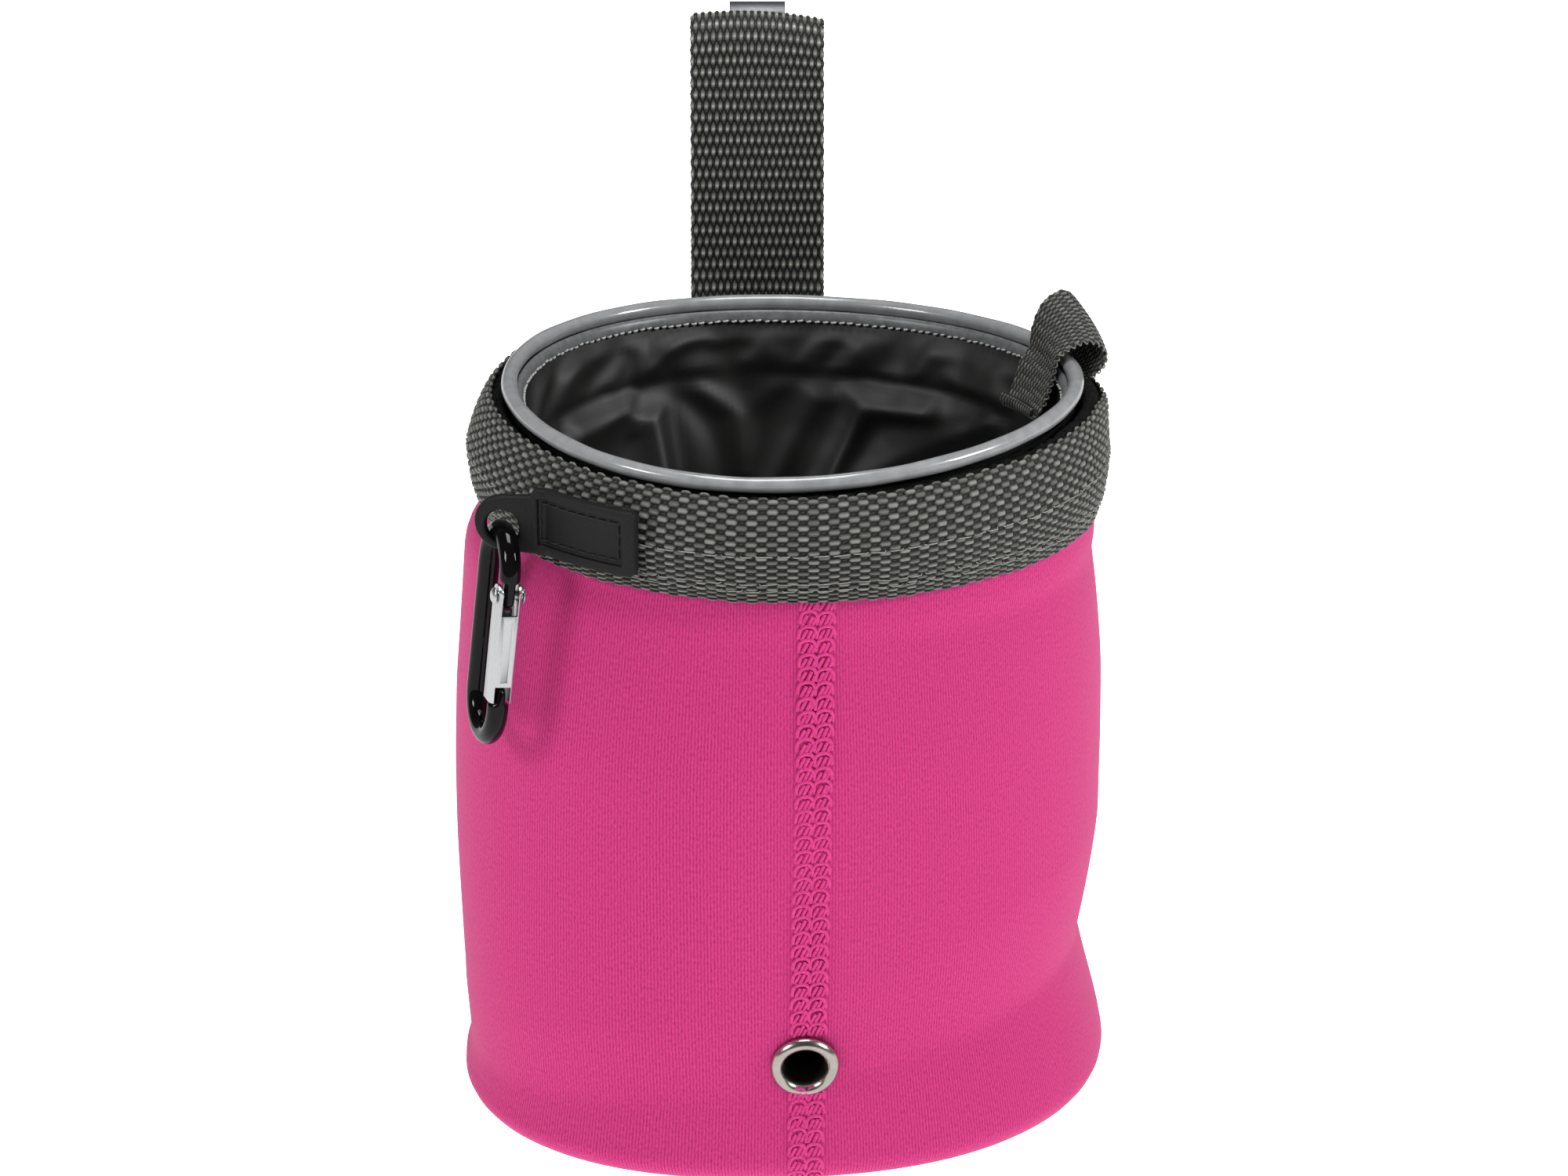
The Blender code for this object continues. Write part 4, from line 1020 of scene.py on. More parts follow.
def strap_stitches(first, last):
    """Stitches between two places on the strap's back, each a distance from its end and a share across."""
    run = math.hypot(last[0] - first[0], (last[1] - first[1]) * WEBBING_WIDTH)
    count = round(run / FOOT_STITCH)
    found = []
    for k in range(count):
        line = []
        for share, lift in ((0.05, -0.5), (0.2, 0.1), (0.8, 0.1), (0.95, -0.5)):
            from_end, across = mix(np.array(first), np.array(last), (k + share) / count)
            line.append(strap_spot(np.array(1 - from_end / STRAP_LENGTH), np.array(across), np.array(lift)))
        found.append(line)
    return found


sides = list(zip(FOOT_BOX, FOOT_BOX[1:] + FOOT_BOX[:1]))
cross = [(FOOT_BOX[0], FOOT_BOX[2]), (FOOT_BOX[1], FOOT_BOX[3])]
lines = [line for run in sides + cross for line in strap_stitches(*run)]
foot_stitching = threads("strap_foot_stitching", lines, FOOT_THREAD_RADIUS)
place_piece(foot_stitching, stitch_thread, "grey_webbing", "pouch")

# %% [markdown]
# ## Pull tab
# A short loop of narrower webbing hangs over the rim at the right, and the inner bag is pulled out by
# it. It is twisted, so its back edge stands high and its front edge lies low. A line is drawn for each
# edge, in distance outside the rim and height, and the tape is spanned between the two.

# %% Pull tab
TAB_WIDTH = 14.5
TAB_THICKNESS = 0.9
TAB_ENDS = 26
TAB_BACK = rounded([(-0.15, 115.5), (-0.15, 122.4), (0.5, 124), (2.2, 125.3), (3.4, 127.2), (4.9, 129.6),
                    (5.9, 132.2), (5.7, 134.9), (4.6, 136.9), (3.4, 137.6), (2.2, 137.5), (-0.4, 136.3),
                    (-2.0, 133.8), (-2.9, 130.8), (-2.9, 128.6), (-3.6, 127.2), (-5.0, 125.6), (-6.0, 122.2),
                    (-7.1, 119.4), (-8.0, 118.2), (-8.8, 118.8), (-8.5, 120.3)], 2)
TAB_FRONT = rounded([(-0.15, 115.5), (-0.15, 122.4), (0.5, 123.6), (2.2, 124.6), (3.9, 125.8), (5.6, 127.3),
                     (6.2, 129.3), (5.6, 131.0), (4.0, 132.1), (2.0, 132.2), (0.0, 131.3), (-1.6, 130.3),
                     (-2.5, 129.3), (-2.9, 128.0), (-3.0, 126.8), (-3.1, 125.7), (-3.6, 124.3),
                     (-4.4, 121.8), (-5.4, 119.7), (-6.3, 118.6), (-7.1, 119.2), (-6.8, 120.4)], 2)
TAB_LENGTH = float(step_lengths(TAB_BACK).sum())
TAB_WEFT_PITCH = 1.1
TAB_WEFTS = round(TAB_LENGTH / TAB_WEFT_PITCH)


def tab_route(u, across):
    """Distance outside the rim and height along the tape, between its back edge and its front edge."""
    share = np.clip(u, 0, 1)
    return mix(along(TAB_BACK, share), along(TAB_FRONT, share), np.asarray(across)[..., None])


def tab_spot(u, across, lift):
    """Places on the tab at a share along it, a share across it and a lift off its middle."""
    here = tab_route(u, across)
    way = tab_route(u + 0.006, across) - tab_route(u - 0.006, across)
    way = way / np.linalg.norm(way, axis=-1, keepdims=True)
    off = lift + TAB_THICKNESS / 2
    turn = TAB_TURN + (0.5 - across) * TAB_WIDTH / MOUTH_RADIUS
    return mouth_point(here[..., 0] + off * way[..., 1], turn, here[..., 1] - off * way[..., 0])


tab = woven("pull_tab_webbing", TAB_WEFTS, TAB_ENDS, tab_spot, TAB_THICKNESS, rise=0.3, round_edge=0.04)
close_ends()
tab_webbing = webbing_material("grey tab webbing", TAB_LENGTH, TAB_WIDTH)
place_piece(tab, tab_webbing, "grey_webbing", "liner", "pull_tab")

# %% [markdown]
# ## Looped selvedge of the tab
# Narrow webbing is woven on a needle loom, which leaves a row of small loops along one edge. Each loop
# could be a ring, but on the tape they are one yarn. A helix that runs along the tab's front edge is
# that yarn.

# %% Looped selvedge of the tab
LOOP_PITCH = 1.5
LOOP_RADIUS = 0.26
SELVEDGE_RADIUS = 0.15
# Bulky polypropylene yarn: a soft grey with little shine.
selvedge_yarn = grained("grey selvedge yarn", 0.4, ("#4A4A47", "#7C7C76"), 0.05, Roughness=0.7)
shares = np.linspace(0.24, 0.9, 420)
turns = 2 * math.pi * shares * TAB_LENGTH / LOOP_PITCH
edge = 1 + (LOOP_RADIUS * np.cos(turns) + 0.1) / TAB_WIDTH
coil = tab_spot(shares, edge, LOOP_RADIUS * np.sin(turns) - TAB_THICKNESS / 2)
selvedge = threads("tab_selvedge", [coil], SELVEDGE_RADIUS)
place_piece(selvedge, selvedge_yarn, "grey_webbing", "liner")

# %% [markdown]
# ## Silver piping
# The inner bag hangs from a wire hoop inside a silver vinyl piping. A torus would be perfectly round,
# but vinyl over wire is a little slack and the rim dips at the front. A grid is rolled into a tube
# along the mouth, with a slight waviness that makes its streak of light uneven.

# %% Silver piping
PIPING_RADIUS = 1.4
FRONT_DROP = 0.6
DROP_TURN = math.radians(-105)
# Calendered vinyl under a clear coat: smooth silver grey, with one sharp streak of light along the tube.
piping_vinyl = grained("silver grey vinyl piping", 2.5, ("#808182", "#8E8F90"), 0.004, Roughness=0.24,
                       Coat_Weight=0.6, Coat_Roughness=0.08)


def piping_place(u, v):
    """Places on the piping's tube, which is slightly slack and dips at the front."""
    turn = around(u)
    round_turn = 2 * math.pi * v
    slack = 0.06 * np.sin(17 * turn) * np.sin(5 * turn + 1)
    drop = FRONT_DROP * np.clip(np.cos(turn - DROP_TURN), 0, 1) ** 4
    return mouth_point((PIPING_RADIUS + slack) * np.cos(round_turn), turn,
                       RIM_HEIGHT - drop + (PIPING_RADIUS + slack) * np.sin(round_turn))


piping = bent_grid("rim_piping_tube", 240, 24, piping_place)
place_piece(piping, piping_vinyl, "silver_piping", "liner", "rim_piping")

# %% [markdown]
# ## Flange of the piping
# The piping's two layers go on below the tube as a flange, which is sewn to the lining. It shows inside
# the rim as a lip with a rippled edge, coloured darker than the tube as painted shade under it. Its
# section is drawn closed, so that the lip has a real thickness.

# %% Flange of the piping
FLANGE_SECTION = rounded([(-1.0, 126.3), (-1.6, 126.7), (-2.1, 126.3), (-2.4, 125.5), (-2.5, 124.8),
                          (-2.2, 124.5), (-1.9, 125.1), (-1.6, 125.8), (-1.0, 126.3)], 2)
# The same vinyl without its coat, so duller than the tube; its darker tones are painted shade under the
# tube.
shaded_flange_vinyl = grained("silver grey vinyl flange with painted shade", 1.2, ("#565859", "#6B6D6E"), 0.02, Roughness=0.36)


def flange_place(u, v):
    """Places on the flange's section, whose lower edge is rippled by the sewing."""
    turn = around(u)
    section = along(FLANGE_SECTION, v)
    ripple = 0.12 * np.sin(41 * turn) * np.sin(9 * turn) * ease(126, 124.4, section[:, 1])
    return mouth_point(section[:, 0] + ripple, turn, section[:, 1])


flange = bent_grid("rim_flange", 240, 20, flange_place)
place_piece(flange, shaded_flange_vinyl, "silver_piping", "liner")

# %% [markdown]
# ## Stitches on the flange
# A pale lockstitch joins flange and lining. Seen from the front it is a row of bright teeth under the
# back of the rim, so each stitch is a short thread of its own, with a length and a height that vary a
# little.

# %% Stitches on the flange
FLANGE_STITCH = 1.5
FLANGE_RADIUS = 47
FLANGE_STITCH_HEIGHT = 124.85
THREAD_SUNK = -2.3
THREAD_PROUD = -2.62
FLANGE_THREAD_RADIUS = 0.2
# Spun polyester thread: nearly white beside the dark lip.
pale_thread = grained("pale grey rim thread", 0.4, ("#90918E", "#B4B5B2"), 0.04, Roughness=0.6)
lines = []
for turn in np.arange(0, 2 * math.pi, FLANGE_STITCH / FLANGE_RADIUS):
    length = random.uniform(0.55, 0.9)
    low = FLANGE_STITCH_HEIGHT + random.uniform(-0.15, 0.1)
    ends = ((0, THREAD_SUNK, low), (0.2, THREAD_PROUD, low),
            (0.8, THREAD_PROUD, low - 0.1), (1, THREAD_SUNK, low - 0.1))
    lines.append([mouth_point(np.array(d), np.array(turn + share * length / FLANGE_RADIUS), np.array(z))
                  for share, d, z in ends])
flange_stitches = threads("flange_stitching", lines, FLANGE_THREAD_RADIUS)
place_piece(flange_stitches, pale_thread, "silver_piping", "liner")

# %% [markdown]
# ## Folds of the lining
# The inner bag is thin black satin. A facing strip is sewn in 11 mm below the rim, and under it the
# cloth is too wide for the bag and falls into folds. A cloth simulation alone gives many small lumps.
# So the broad folds that the photograph shows are listed one by one, each as a ridge along a line, and
# the rest are plain waves.

# %% Folds of the lining
LINING_RADIUS = 46.5
FACING_SEAM = 115.2
# Each fold is a line of turns in degrees and heights, how far it stands out, and its widths left and right.
FOLDS = [
    ([(152, 120), (139, 125)], 1.8, 3, 1.6), ([(126, 117.5), (113, 125)], 2, 3.5, 1.6),
    ([(100, 116.5), (93, 124.5)], 1.6, 4, 1.8), ([(88, 117), (81, 123)], 1.2, 3, 2),
    ([(77, 116.5), (73, 124.5)], 1.8, 3.5, 1.6), ([(62, 116.5), (55, 124.5)], 1.8, 4, 1.6),
    ([(47, 116), (41, 124)], 1.6, 3, 1.8), ([(170, 117), (160, 124)], 1.5, 3, 1.8),
    ([(30, 116), (22, 124)], 1.6, 3, 1.8), ([(150, 112), (135, 113), (124, 110), (124, 96)], 4.5, 9, 2.5),
    ([(113, 114.5), (104, 109), (103, 98)], 2.6, 3, 4), ([(92, 114), (102, 108)], 1.6, 2.5, 3),
    ([(98, 94), (84, 113)], 3.6, 6, 3), ([(82, 101), (77, 113.5)], 2.6, 2.6, 2.6),
    ([(84, 94), (73, 111.5), (56, 112.5)], 5, 4, 3), ([(80, 94), (64, 103), (37, 114)], 4, 3, 8),
    ([(176, 96), (160, 112)], 3, 6, 3)]


def ridge(turn, z, line, height, left, right):
    """Height of one fold, which falls off on both sides of its line."""
    nearest = np.full(turn.shape, 1e9)
    width = np.full(turn.shape, float(left))
    corners = [(math.radians(degrees) * LINING_RADIUS, level) for degrees, level in line]
    for (start, low), (end, high) in zip(corners[:-1], corners[1:]):
        run, climb = end - start, high - low
        off, up = turn * LINING_RADIUS - start, z - low
        share = np.clip((off * run + up * climb) / (run ** 2 + climb ** 2), 0, 1)
        off, up = off - share * run, up - share * climb
        gap = np.hypot(off, up)
        width = np.where(gap < nearest, np.where(run * up > climb * off, left, right), width)
        nearest = np.minimum(gap, nearest)
    return height * np.exp(-(nearest / width) ** 1.4)


def folds(turn, z):
    """How far all folds together stand into the bag; the front half has plain waves."""
    turn = (turn + math.pi / 2) % (2 * math.pi) - math.pi / 2
    total = np.zeros(turn.shape)
    for fold in FOLDS:
        this = ridge(turn, z, *fold)
        total = np.maximum(total, this) + 0.25 * np.minimum(total, this)
    front = 0.5 + 0.5 * np.tanh((-np.sin(turn) - 0.1) * 6)
    wave = np.sin(7 * turn + 1.3 * np.sin(z / 9)) + 0.6 * np.sin(12 * turn + z / 7)
    return total + front * ease(125, 112, z) * (1.6 + 1.2 * wave)


print("lining has", len(FOLDS), "laid folds")

# %% [markdown]
# ## Wall of the lining
# The lining runs from the flange down to its floor. It is one layer, because nobody sees its thickness.
# Where it is sewn, at the rim, at the facing and at the floor, its points are put in a group that the
# simulation holds.

# %% Wall of the lining
LINING_LINE = rounded([(-1.5, 125.8), (-1.9, 124.9), (-2.2, 123.8), (-2.5, 122), (-2.6, 115.3), (-4.0, 108),
                       (-6.6, 97), (-8.0, 85), (-7.4, 60), (-6.6, 41)])
SEWN_ABOVE = 123.4
SEWN_BELOW = 46
FACING_HOLD = 0.8


def lining_place(u, v):
    """Places on the lining, with its facing strip and the folds where it is loose."""
    turn = around(u)
    line = along(LINING_LINE, v)
    d, z = line[:, 0], line[:, 1]
    strip = 0.4 * ease(-0.2, 0.2, z - FACING_SEAM) * ease(123.6, 122.4, z)
    loose = ease(124, 121.5, z) * ease(60, 92, z) * (1 - 0.75 * np.exp(-((z - FACING_SEAM) / 1.2) ** 2))
    return mouth_point(d - strip - loose * folds(turn, z), turn, z)


lining = bent_grid("satin_lining", 240, 110, lining_place)
sewn = lining.vertex_groups.new(name="sewn")
for vertex in lining.data.vertices:
    z = vertex.co.z / MM
    rise = MOUTH_RISE * math.cos(math.atan2(vertex.co.y, vertex.co.x)) ** 2
    if z > SEWN_ABOVE + 0.9 * rise or z < SEWN_BELOW:
        sewn.add([vertex.index], 1.0, 'REPLACE')
    elif abs(z - 0.6 * rise - FACING_SEAM) < 0.4:
        sewn.add([vertex.index], FACING_HOLD, 'REPLACE')
print("lining has", len(lining.data.vertices), "points")

# %% [markdown]
# ## Short simulation of the satin
# Laid folds look modelled, because real satin settles between them. A few frames of cloth simulation,
# with the cloth let out by a fortieth and the sewn points held, let it settle. A smoothing modifier
# then takes off the small creases that remain, because coated satin bends in broad curves.

# %% Short simulation of the satin
SATIN_FRAMES = 12
SMOOTHING_ROUNDS = 5
bpy.ops.object.modifier_add(type='CLOTH')
settling = lining.modifiers[-1]
cloth = settling.settings
cloth.quality = 4
cloth.mass = 0.05
cloth.tension_stiffness = cloth.compression_stiffness = 25
cloth.shear_stiffness = 10
cloth.bending_stiffness = 25
cloth.shrink_min = -0.025
cloth.vertex_group_mass = "sewn"
cloth.effector_weights.gravity = 0.1
settling.collision_settings.use_collision = False
settling.point_cache.frame_end = SATIN_FRAMES
for moment in range(1, SATIN_FRAMES + 1):
    bpy.context.scene.frame_set(moment)
bpy.ops.object.modifier_apply(modifier=settling.name)
bpy.context.scene.frame_set(1)
bpy.ops.object.modifier_add(type='SMOOTH')
softening = lining.modifiers[-1]
softening.factor = 0.5
softening.iterations = SMOOTHING_ROUNDS
bpy.ops.object.modifier_apply(modifier=softening.name)
print("satin smoothed", SMOOTHING_ROUNDS, "times, simulation", "run")

# %% [markdown]
# ## Satin kept inside the hook tape
# Loose cloth may have swung out through the tape that is sewn round it. A collision object could stop
# it, but that is slow and leaves a gap. It is enough to push back every point that lies outside the
# tape's oval.

# %% Satin kept inside the hook tape
LINING_OUTSIDE = MOUTH_RADIUS - 1.4


def oval_depth(turn):
    """Depth of the mouth's oval beside its width, at one angle."""
    return MOUTH_DEPTH * (1 - EGG * math.cos(turn))


pushed_points = 0
for vertex in lining.data.vertices:
    x, y = vertex.co.x / MM - MOUTH_CENTRE[0], vertex.co.y / MM - MOUTH_CENTRE[1]
    turn = math.atan2(y, x)
    for _ in range(4):
        turn = math.atan2(y / oval_depth(turn), x)
    radius = math.hypot(x, y / oval_depth(turn))
    if radius > LINING_OUTSIDE:
        vertex.co.x = (MOUTH_CENTRE[0] + x * LINING_OUTSIDE / radius) * MM
        vertex.co.y = (MOUTH_CENTRE[1] + y * LINING_OUTSIDE / radius) * MM
        pushed_points += 1
bpy.ops.object.shade_smooth()
# Coated satin: nearly black, with a fine stripe of floats and soft streaks of light along each fold.
satin = grained("black satin", 0.5, ("#141413", "#1C1C1B"), 0.004, stretch=(1, 1, 6), Roughness=0.56,
                Specular_IOR_Level=0.62)
place_piece(lining, satin, "black_lining", "liner", "liner_bag")
print(pushed_points, "points of the lining pushed in")

# %% [markdown]
# ## Floor of the lining
# The inner bag's floor is an oval of the same satin, gathered a little where it is sewn to the wall. A
# flat disc would look like card, so the seam puckers it and the middle lies in slack waves.

# %% Floor of the lining
LINING_FLOOR = rounded([(-6.6, 41.2), (-8, 39.9), (-14, 39.5), (-49.3, 39.3)])


def floor_place(u, v):
    """The bag's floor, puckered along its seam and slack in the middle."""
    turn = around(u)
    line = along(LINING_FLOOR, v)
    from_seam = np.clip(-8 - line[:, 0], 0, None)
    gathers = np.sin(31 * turn + 3 * np.sin(5 * turn))
    pucker = 0.5 * gathers * np.exp(-from_seam / 5) * ease(0, 1.5, from_seam)
    slack = np.sin(2 * turn + from_seam / 7) + 0.7 * np.sin(3 * turn - from_seam / 5 + 1)
    swell = 0.7 * (1 + slack / 1.7) * ease(2, 14, from_seam) * ease(41, 22, from_seam)
    return mouth_point(line[:, 0], turn, line[:, 1] + pucker + swell)


lining_floor = bent_grid("satin_lining_floor", 200, 40, floor_place)
place_piece(lining_floor, satin, "black_lining", "liner", "liner_base")

# %% [markdown]
# ## Hook and loop tapes
# The inner bag is held by hook tape outside its rim, which grips loop tape inside the outer bag. Of the
# two, only a fuzzy black edge is seen above the band. Hair could cover it, but two strips with a tufted
# edge and a rough material are lighter. The hook strip leaves room for the pull tab.

# %% Hook and loop tapes
LOOP_SECTION = rounded([(0.6, 107), (0.6, 122.6), (0.7, 124.4), (1.6, 125.4), (2.8, 125.3), (4.0, 124.6),
                        (4.4, 123.2), (3.2, 122.8), (1.3, 122.6), (1.1, 107), (0.6, 107)], 2)
HOOK_SECTION = rounded([(-0.5, 108), (-0.5, 124.6), (-0.2, 125.6), (0.2, 124.6), (0.2, 108), (-0.5, 108)], 2)
TAB_ROOM = 0.8
# Brushed nylon pile: it swallows nearly all light.
felt = grained("black loop pile", 0.35, ("#060606", "#1A1A1A"), 0.25, Roughness=1.0, Specular_IOR_Level=0.1)


def loop_place(u, v):
    """Places on the loop tape's section, whose top edge is tufted."""
    turn = around(u)
    section = along(LOOP_SECTION, v)
    tuft = 0.25 * np.sin(57 * turn + 3 * np.sin(23 * turn)) * ease(122, 124, section[:, 1])
    return mouth_point(section[:, 0], turn, section[:, 1] + tuft)


def hook_place(u, v):
    """Places on the hook tape's section, from one side of the pull tab round to the other."""
    room = (TAB_WIDTH / 2 + TAB_ROOM) / MOUTH_RADIUS
    turn = mix(TAB_TURN + room, TAB_TURN - room + 2 * math.pi, u)
    section = along(HOOK_SECTION, v)
    return mouth_point(section[:, 0], turn, section[:, 1])


loop = bent_grid("loop_tape_pile", 300, 24, loop_place)
place_piece(loop, felt, "black_tape", "pouch", "loop_tape")
hook = bent_grid("hook_tape_strip", 200, 20, hook_place)
place_piece(hook, felt, "black_tape", "liner", "hook_tape")

# %% [markdown]
# ## Loose fibres of the pile
# Pulling the tapes apart tears fibres out of the loop pile, and they stand up at the left of the mouth.
# Each is a short random walk, as a loose fibre has no plan, and most of them lie at the left.

# %% Loose fibres of the pile
FIBRES = 260
FIBRE_STEPS = 5
FIBRE_RADIUS = 0.05
PILE_RADIUS = 52
PILE_TOP = 125.1
fibres = []
for _ in range(FIBRES):
    turn = random.gauss(math.pi, 1.3)
    here = np.array((random.uniform(1.9, 3.6), turn * PILE_RADIUS, PILE_TOP))
    strand = [here]
    for _ in range(FIBRE_STEPS):
        drift = [random.uniform(-0.35, 0.35), random.uniform(-0.5, 0.5), random.uniform(-0.1, 0.28)]
        here = here + np.array(drift)
        strand.append(here)
    fibres.append([mouth_point(np.array(d), np.array(way / PILE_RADIUS), np.array(z))
                   for d, way, z in strand])
pile_fibres = threads("loose_pile_fibres", fibres, FIBRE_RADIUS, 0)
place_piece(pile_fibres, felt, "black_tape", "pouch")

# %% [markdown]
# ## Eyelet
# A nickel-plated brass eyelet lines the hole low in the front. It is pressed from a tube, so it is
# round about one axis and its shape is all in its profile. The spin tool could turn it, and a grid bent
# round the hole's tilted axis does the same without turning the piece afterwards.

# %% Spun eyelet
EYELET_PROFILE = rounded([(3.6, -5.5), (3.6, -0.8), (3.7, 0.2), (4.0, 0.95), (4.5, 1.4), (5.0, 1.5),
                          (5.5, 1.3), (5.95, 0.7), (6.1, 0.1), (5.9, -0.2), (5.0, -0.2)], 2)
# Nickel plate: a warm grey mirror, slightly wavy and blurred by handling.
nickel = grained("nickel plate", 2.0, ("#BDB8B0", "#CDC8C0"), 0.006, Metallic=1.0, Roughness=0.24)
eyelet_across = Vector((0, 0, 1)).cross(eyelet_out).normalized()
eyelet_up = eyelet_out.cross(eyelet_across)


def eyelet_place(u, v):
    """Places on the profile of radius and distance outside the wall, turned round the hole's axis."""
    turn = 2 * math.pi * u
    profile = along(EYELET_PROFILE, v)
    radial = np.outer(np.cos(turn), eyelet_across) + np.outer(np.sin(turn), eyelet_up)
    return np.array(eyelet_middle) / MM + radial * profile[:, :1] + np.outer(profile[:, 1], eyelet_out)


eyelet = bent_grid("eyelet_ring", 72, 36, eyelet_place)
place_piece(eyelet, nickel, "nickel", "pouch", "eyelet")

# %% [markdown]
# ## Rubber label
# A moulded soft PVC label is sewn to the band, and its tab leaves the band and carries the carabiner. A
# mould is cut flat, so the label is shaped flat too. It is then cut across at every millimetre, so that
# it can bend, and wrapped along the band.

# %% Label's place on the band
LABEL_TURNS = (-27.0, -46.0)
LABEL_OFFSET = 8.0
LABEL_LENGTH = math.radians(LABEL_TURNS[0] - LABEL_TURNS[1]) * (MOUTH_RADIUS + LABEL_OFFSET)
LABEL_MIDDLE = 117.0
LABEL_TAB_REACH = 8.1
LABEL_TAB_FACING = math.radians(-13 - 90)
BEND_STEP = 1.0


def label_station(s):
    """Place and facing of the label's back at a distance from its right end."""
    share = min(s / LABEL_LENGTH, 1.0)
    facing = math.radians(mix(*LABEL_TURNS, share) - 90)
    place = mouth_point(np.array(LABEL_OFFSET), np.array(facing), np.array(LABEL_MIDDLE))
    past = max(s - LABEL_LENGTH, 0.0)
    turned = float(ease(-1.5, 2.5, s - LABEL_LENGTH))
    way = np.array((math.sin(LABEL_TAB_FACING), -math.cos(LABEL_TAB_FACING), 0.2 / LABEL_TAB_REACH))
    return place + way * past, mix(facing, LABEL_TAB_FACING, turned)


def wrap_on_band(piece):
    """Cuts a flat piece across at every step, so that it can bend, and moves its points to the band."""
    low = min(v.co.x for v in piece.data.vertices)
    high = max(v.co.x for v in piece.data.vertices)
    bpy.ops.object.mode_set(mode='EDIT')
    for x in np.arange(low + BEND_STEP * MM, high, BEND_STEP * MM):
        bpy.ops.mesh.select_all(action='SELECT')
        bpy.ops.mesh.bisect(plane_co=(x, 0, 0), plane_no=(1, 0, 0))
    bpy.ops.object.mode_set(mode='OBJECT')
    for vertex in piece.data.vertices:
        place, facing = label_station(-vertex.co.x / MM)
        outward = Vector((math.cos(facing), math.sin(facing), 0))
        vertex.co = (Vector(place) + Vector((0, 0, vertex.co.y / MM)) + outward * vertex.co.z / MM) * MM
    bpy.ops.object.shade_smooth_by_angle(angle=math.radians(35))


print("label lies on", round(LABEL_LENGTH, 1), "mm of the band")

# %% [markdown]
# ## Label's plate
# The plate is a flat block with a raised frame round a sunken field. Two insets make the frame: the
# first marks it, and the second goes down. The upright corners are rounded in edit mode, because they
# are large, and one bevel modifier then softens all other edges, as a mould leaves them.

# %% Label's plate
LABEL_HALF = 5.8
PLATE_RISE = 0.5
PLATE_LENGTH = LABEL_LENGTH + 3
PLATE_THICKNESS = 1.9
PLATE_CORNER = 1.1
FRAME_WIDTH = 1.6
FIELD_SHIFT = (0.8, 0.7)
FIELD_SLOPE = 0.15
FIELD_DEPTH = 0.7
# Moulded soft PVC: a dull black with a fine grain, and soft glints only on its edges.
rubber = grained("black moulded rubber", 0.25, ("#0D0D0E", "#151516"), 0.02, Roughness=0.52,
                 Specular_IOR_Level=0.28)


def round_edges(piece, width, segments, least_angle=30):
    """Rounds all edges of the active piece that are sharper than an angle in degrees."""
    bpy.ops.object.modifier_add(type='BEVEL')
    bevel = piece.modifiers[-1]
    bevel.width = width * MM
    bevel.segments = segments
    bevel.limit_method = 'ANGLE'
    bevel.angle_limit = math.radians(least_angle)
    bpy.ops.object.modifier_apply(modifier=bevel.name)


def upright(edge):
    """True for an edge that runs through the plate's thickness."""
    first, second = (label.data.vertices[i].co for i in edge.vertices)
    return abs(first.z - second.z) > 1.5 * MM


bpy.ops.object.select_all(action='DESELECT')
bpy.ops.mesh.primitive_cube_add(
    size=1, location=(-PLATE_LENGTH / 2 * MM, PLATE_RISE * MM, PLATE_THICKNESS / 2 * MM),
    scale=(PLATE_LENGTH * MM, 2 * LABEL_HALF * MM, PLATE_THICKNESS * MM))
bpy.ops.object.transform_apply(location=True, scale=True)
label = bpy.context.object
label.name = label.data.name = "label_plate"
select_only(label, 'FACE', lambda face: face.normal.z > 0.9)
bpy.ops.mesh.inset(thickness=FRAME_WIDTH * MM, depth=0)
bpy.ops.object.mode_set(mode='OBJECT')
for vertex in label.data.vertices:
    on_face = vertex.co.z > (PLATE_THICKNESS - 0.1) * MM
    if on_face and abs(vertex.co.y - PLATE_RISE * MM) < (LABEL_HALF - 1) * MM:
        vertex.co.x -= FIELD_SHIFT[0 if vertex.co.x > -PLATE_LENGTH / 2 * MM else 1] * MM
bpy.ops.object.mode_set(mode='EDIT')
bpy.ops.mesh.inset(thickness=FIELD_SLOPE * MM, depth=-FIELD_DEPTH * MM)
bpy.ops.object.mode_set(mode='OBJECT')
select_only(label, 'EDGE', upright)
bpy.ops.mesh.bevel(offset=PLATE_CORNER * MM, segments=5)
bpy.ops.object.mode_set(mode='OBJECT')
round_edges(label, 0.22, 3)
wrap_on_band(label)
place_piece(label, rubber, "black_rubber", "pouch", "label_patch")

# %% [markdown]
# ## Stitches that hold the label
# The label is sewn through its sunken field, just inside the frame, with black thread. The stitches are
# laid on the flat label by distance and height, and the same function that bent the plate puts them in
# place.

# %% Stitches that hold the label
LABEL_STITCH = 2.2
LABEL_THREAD_RADIUS = 0.16
FIELD_INSET = 2.5
SEWN_SHAPE = ((0.08, 1.1), (0.25, 1.36), (0.75, 1.36), (0.92, 1.1))
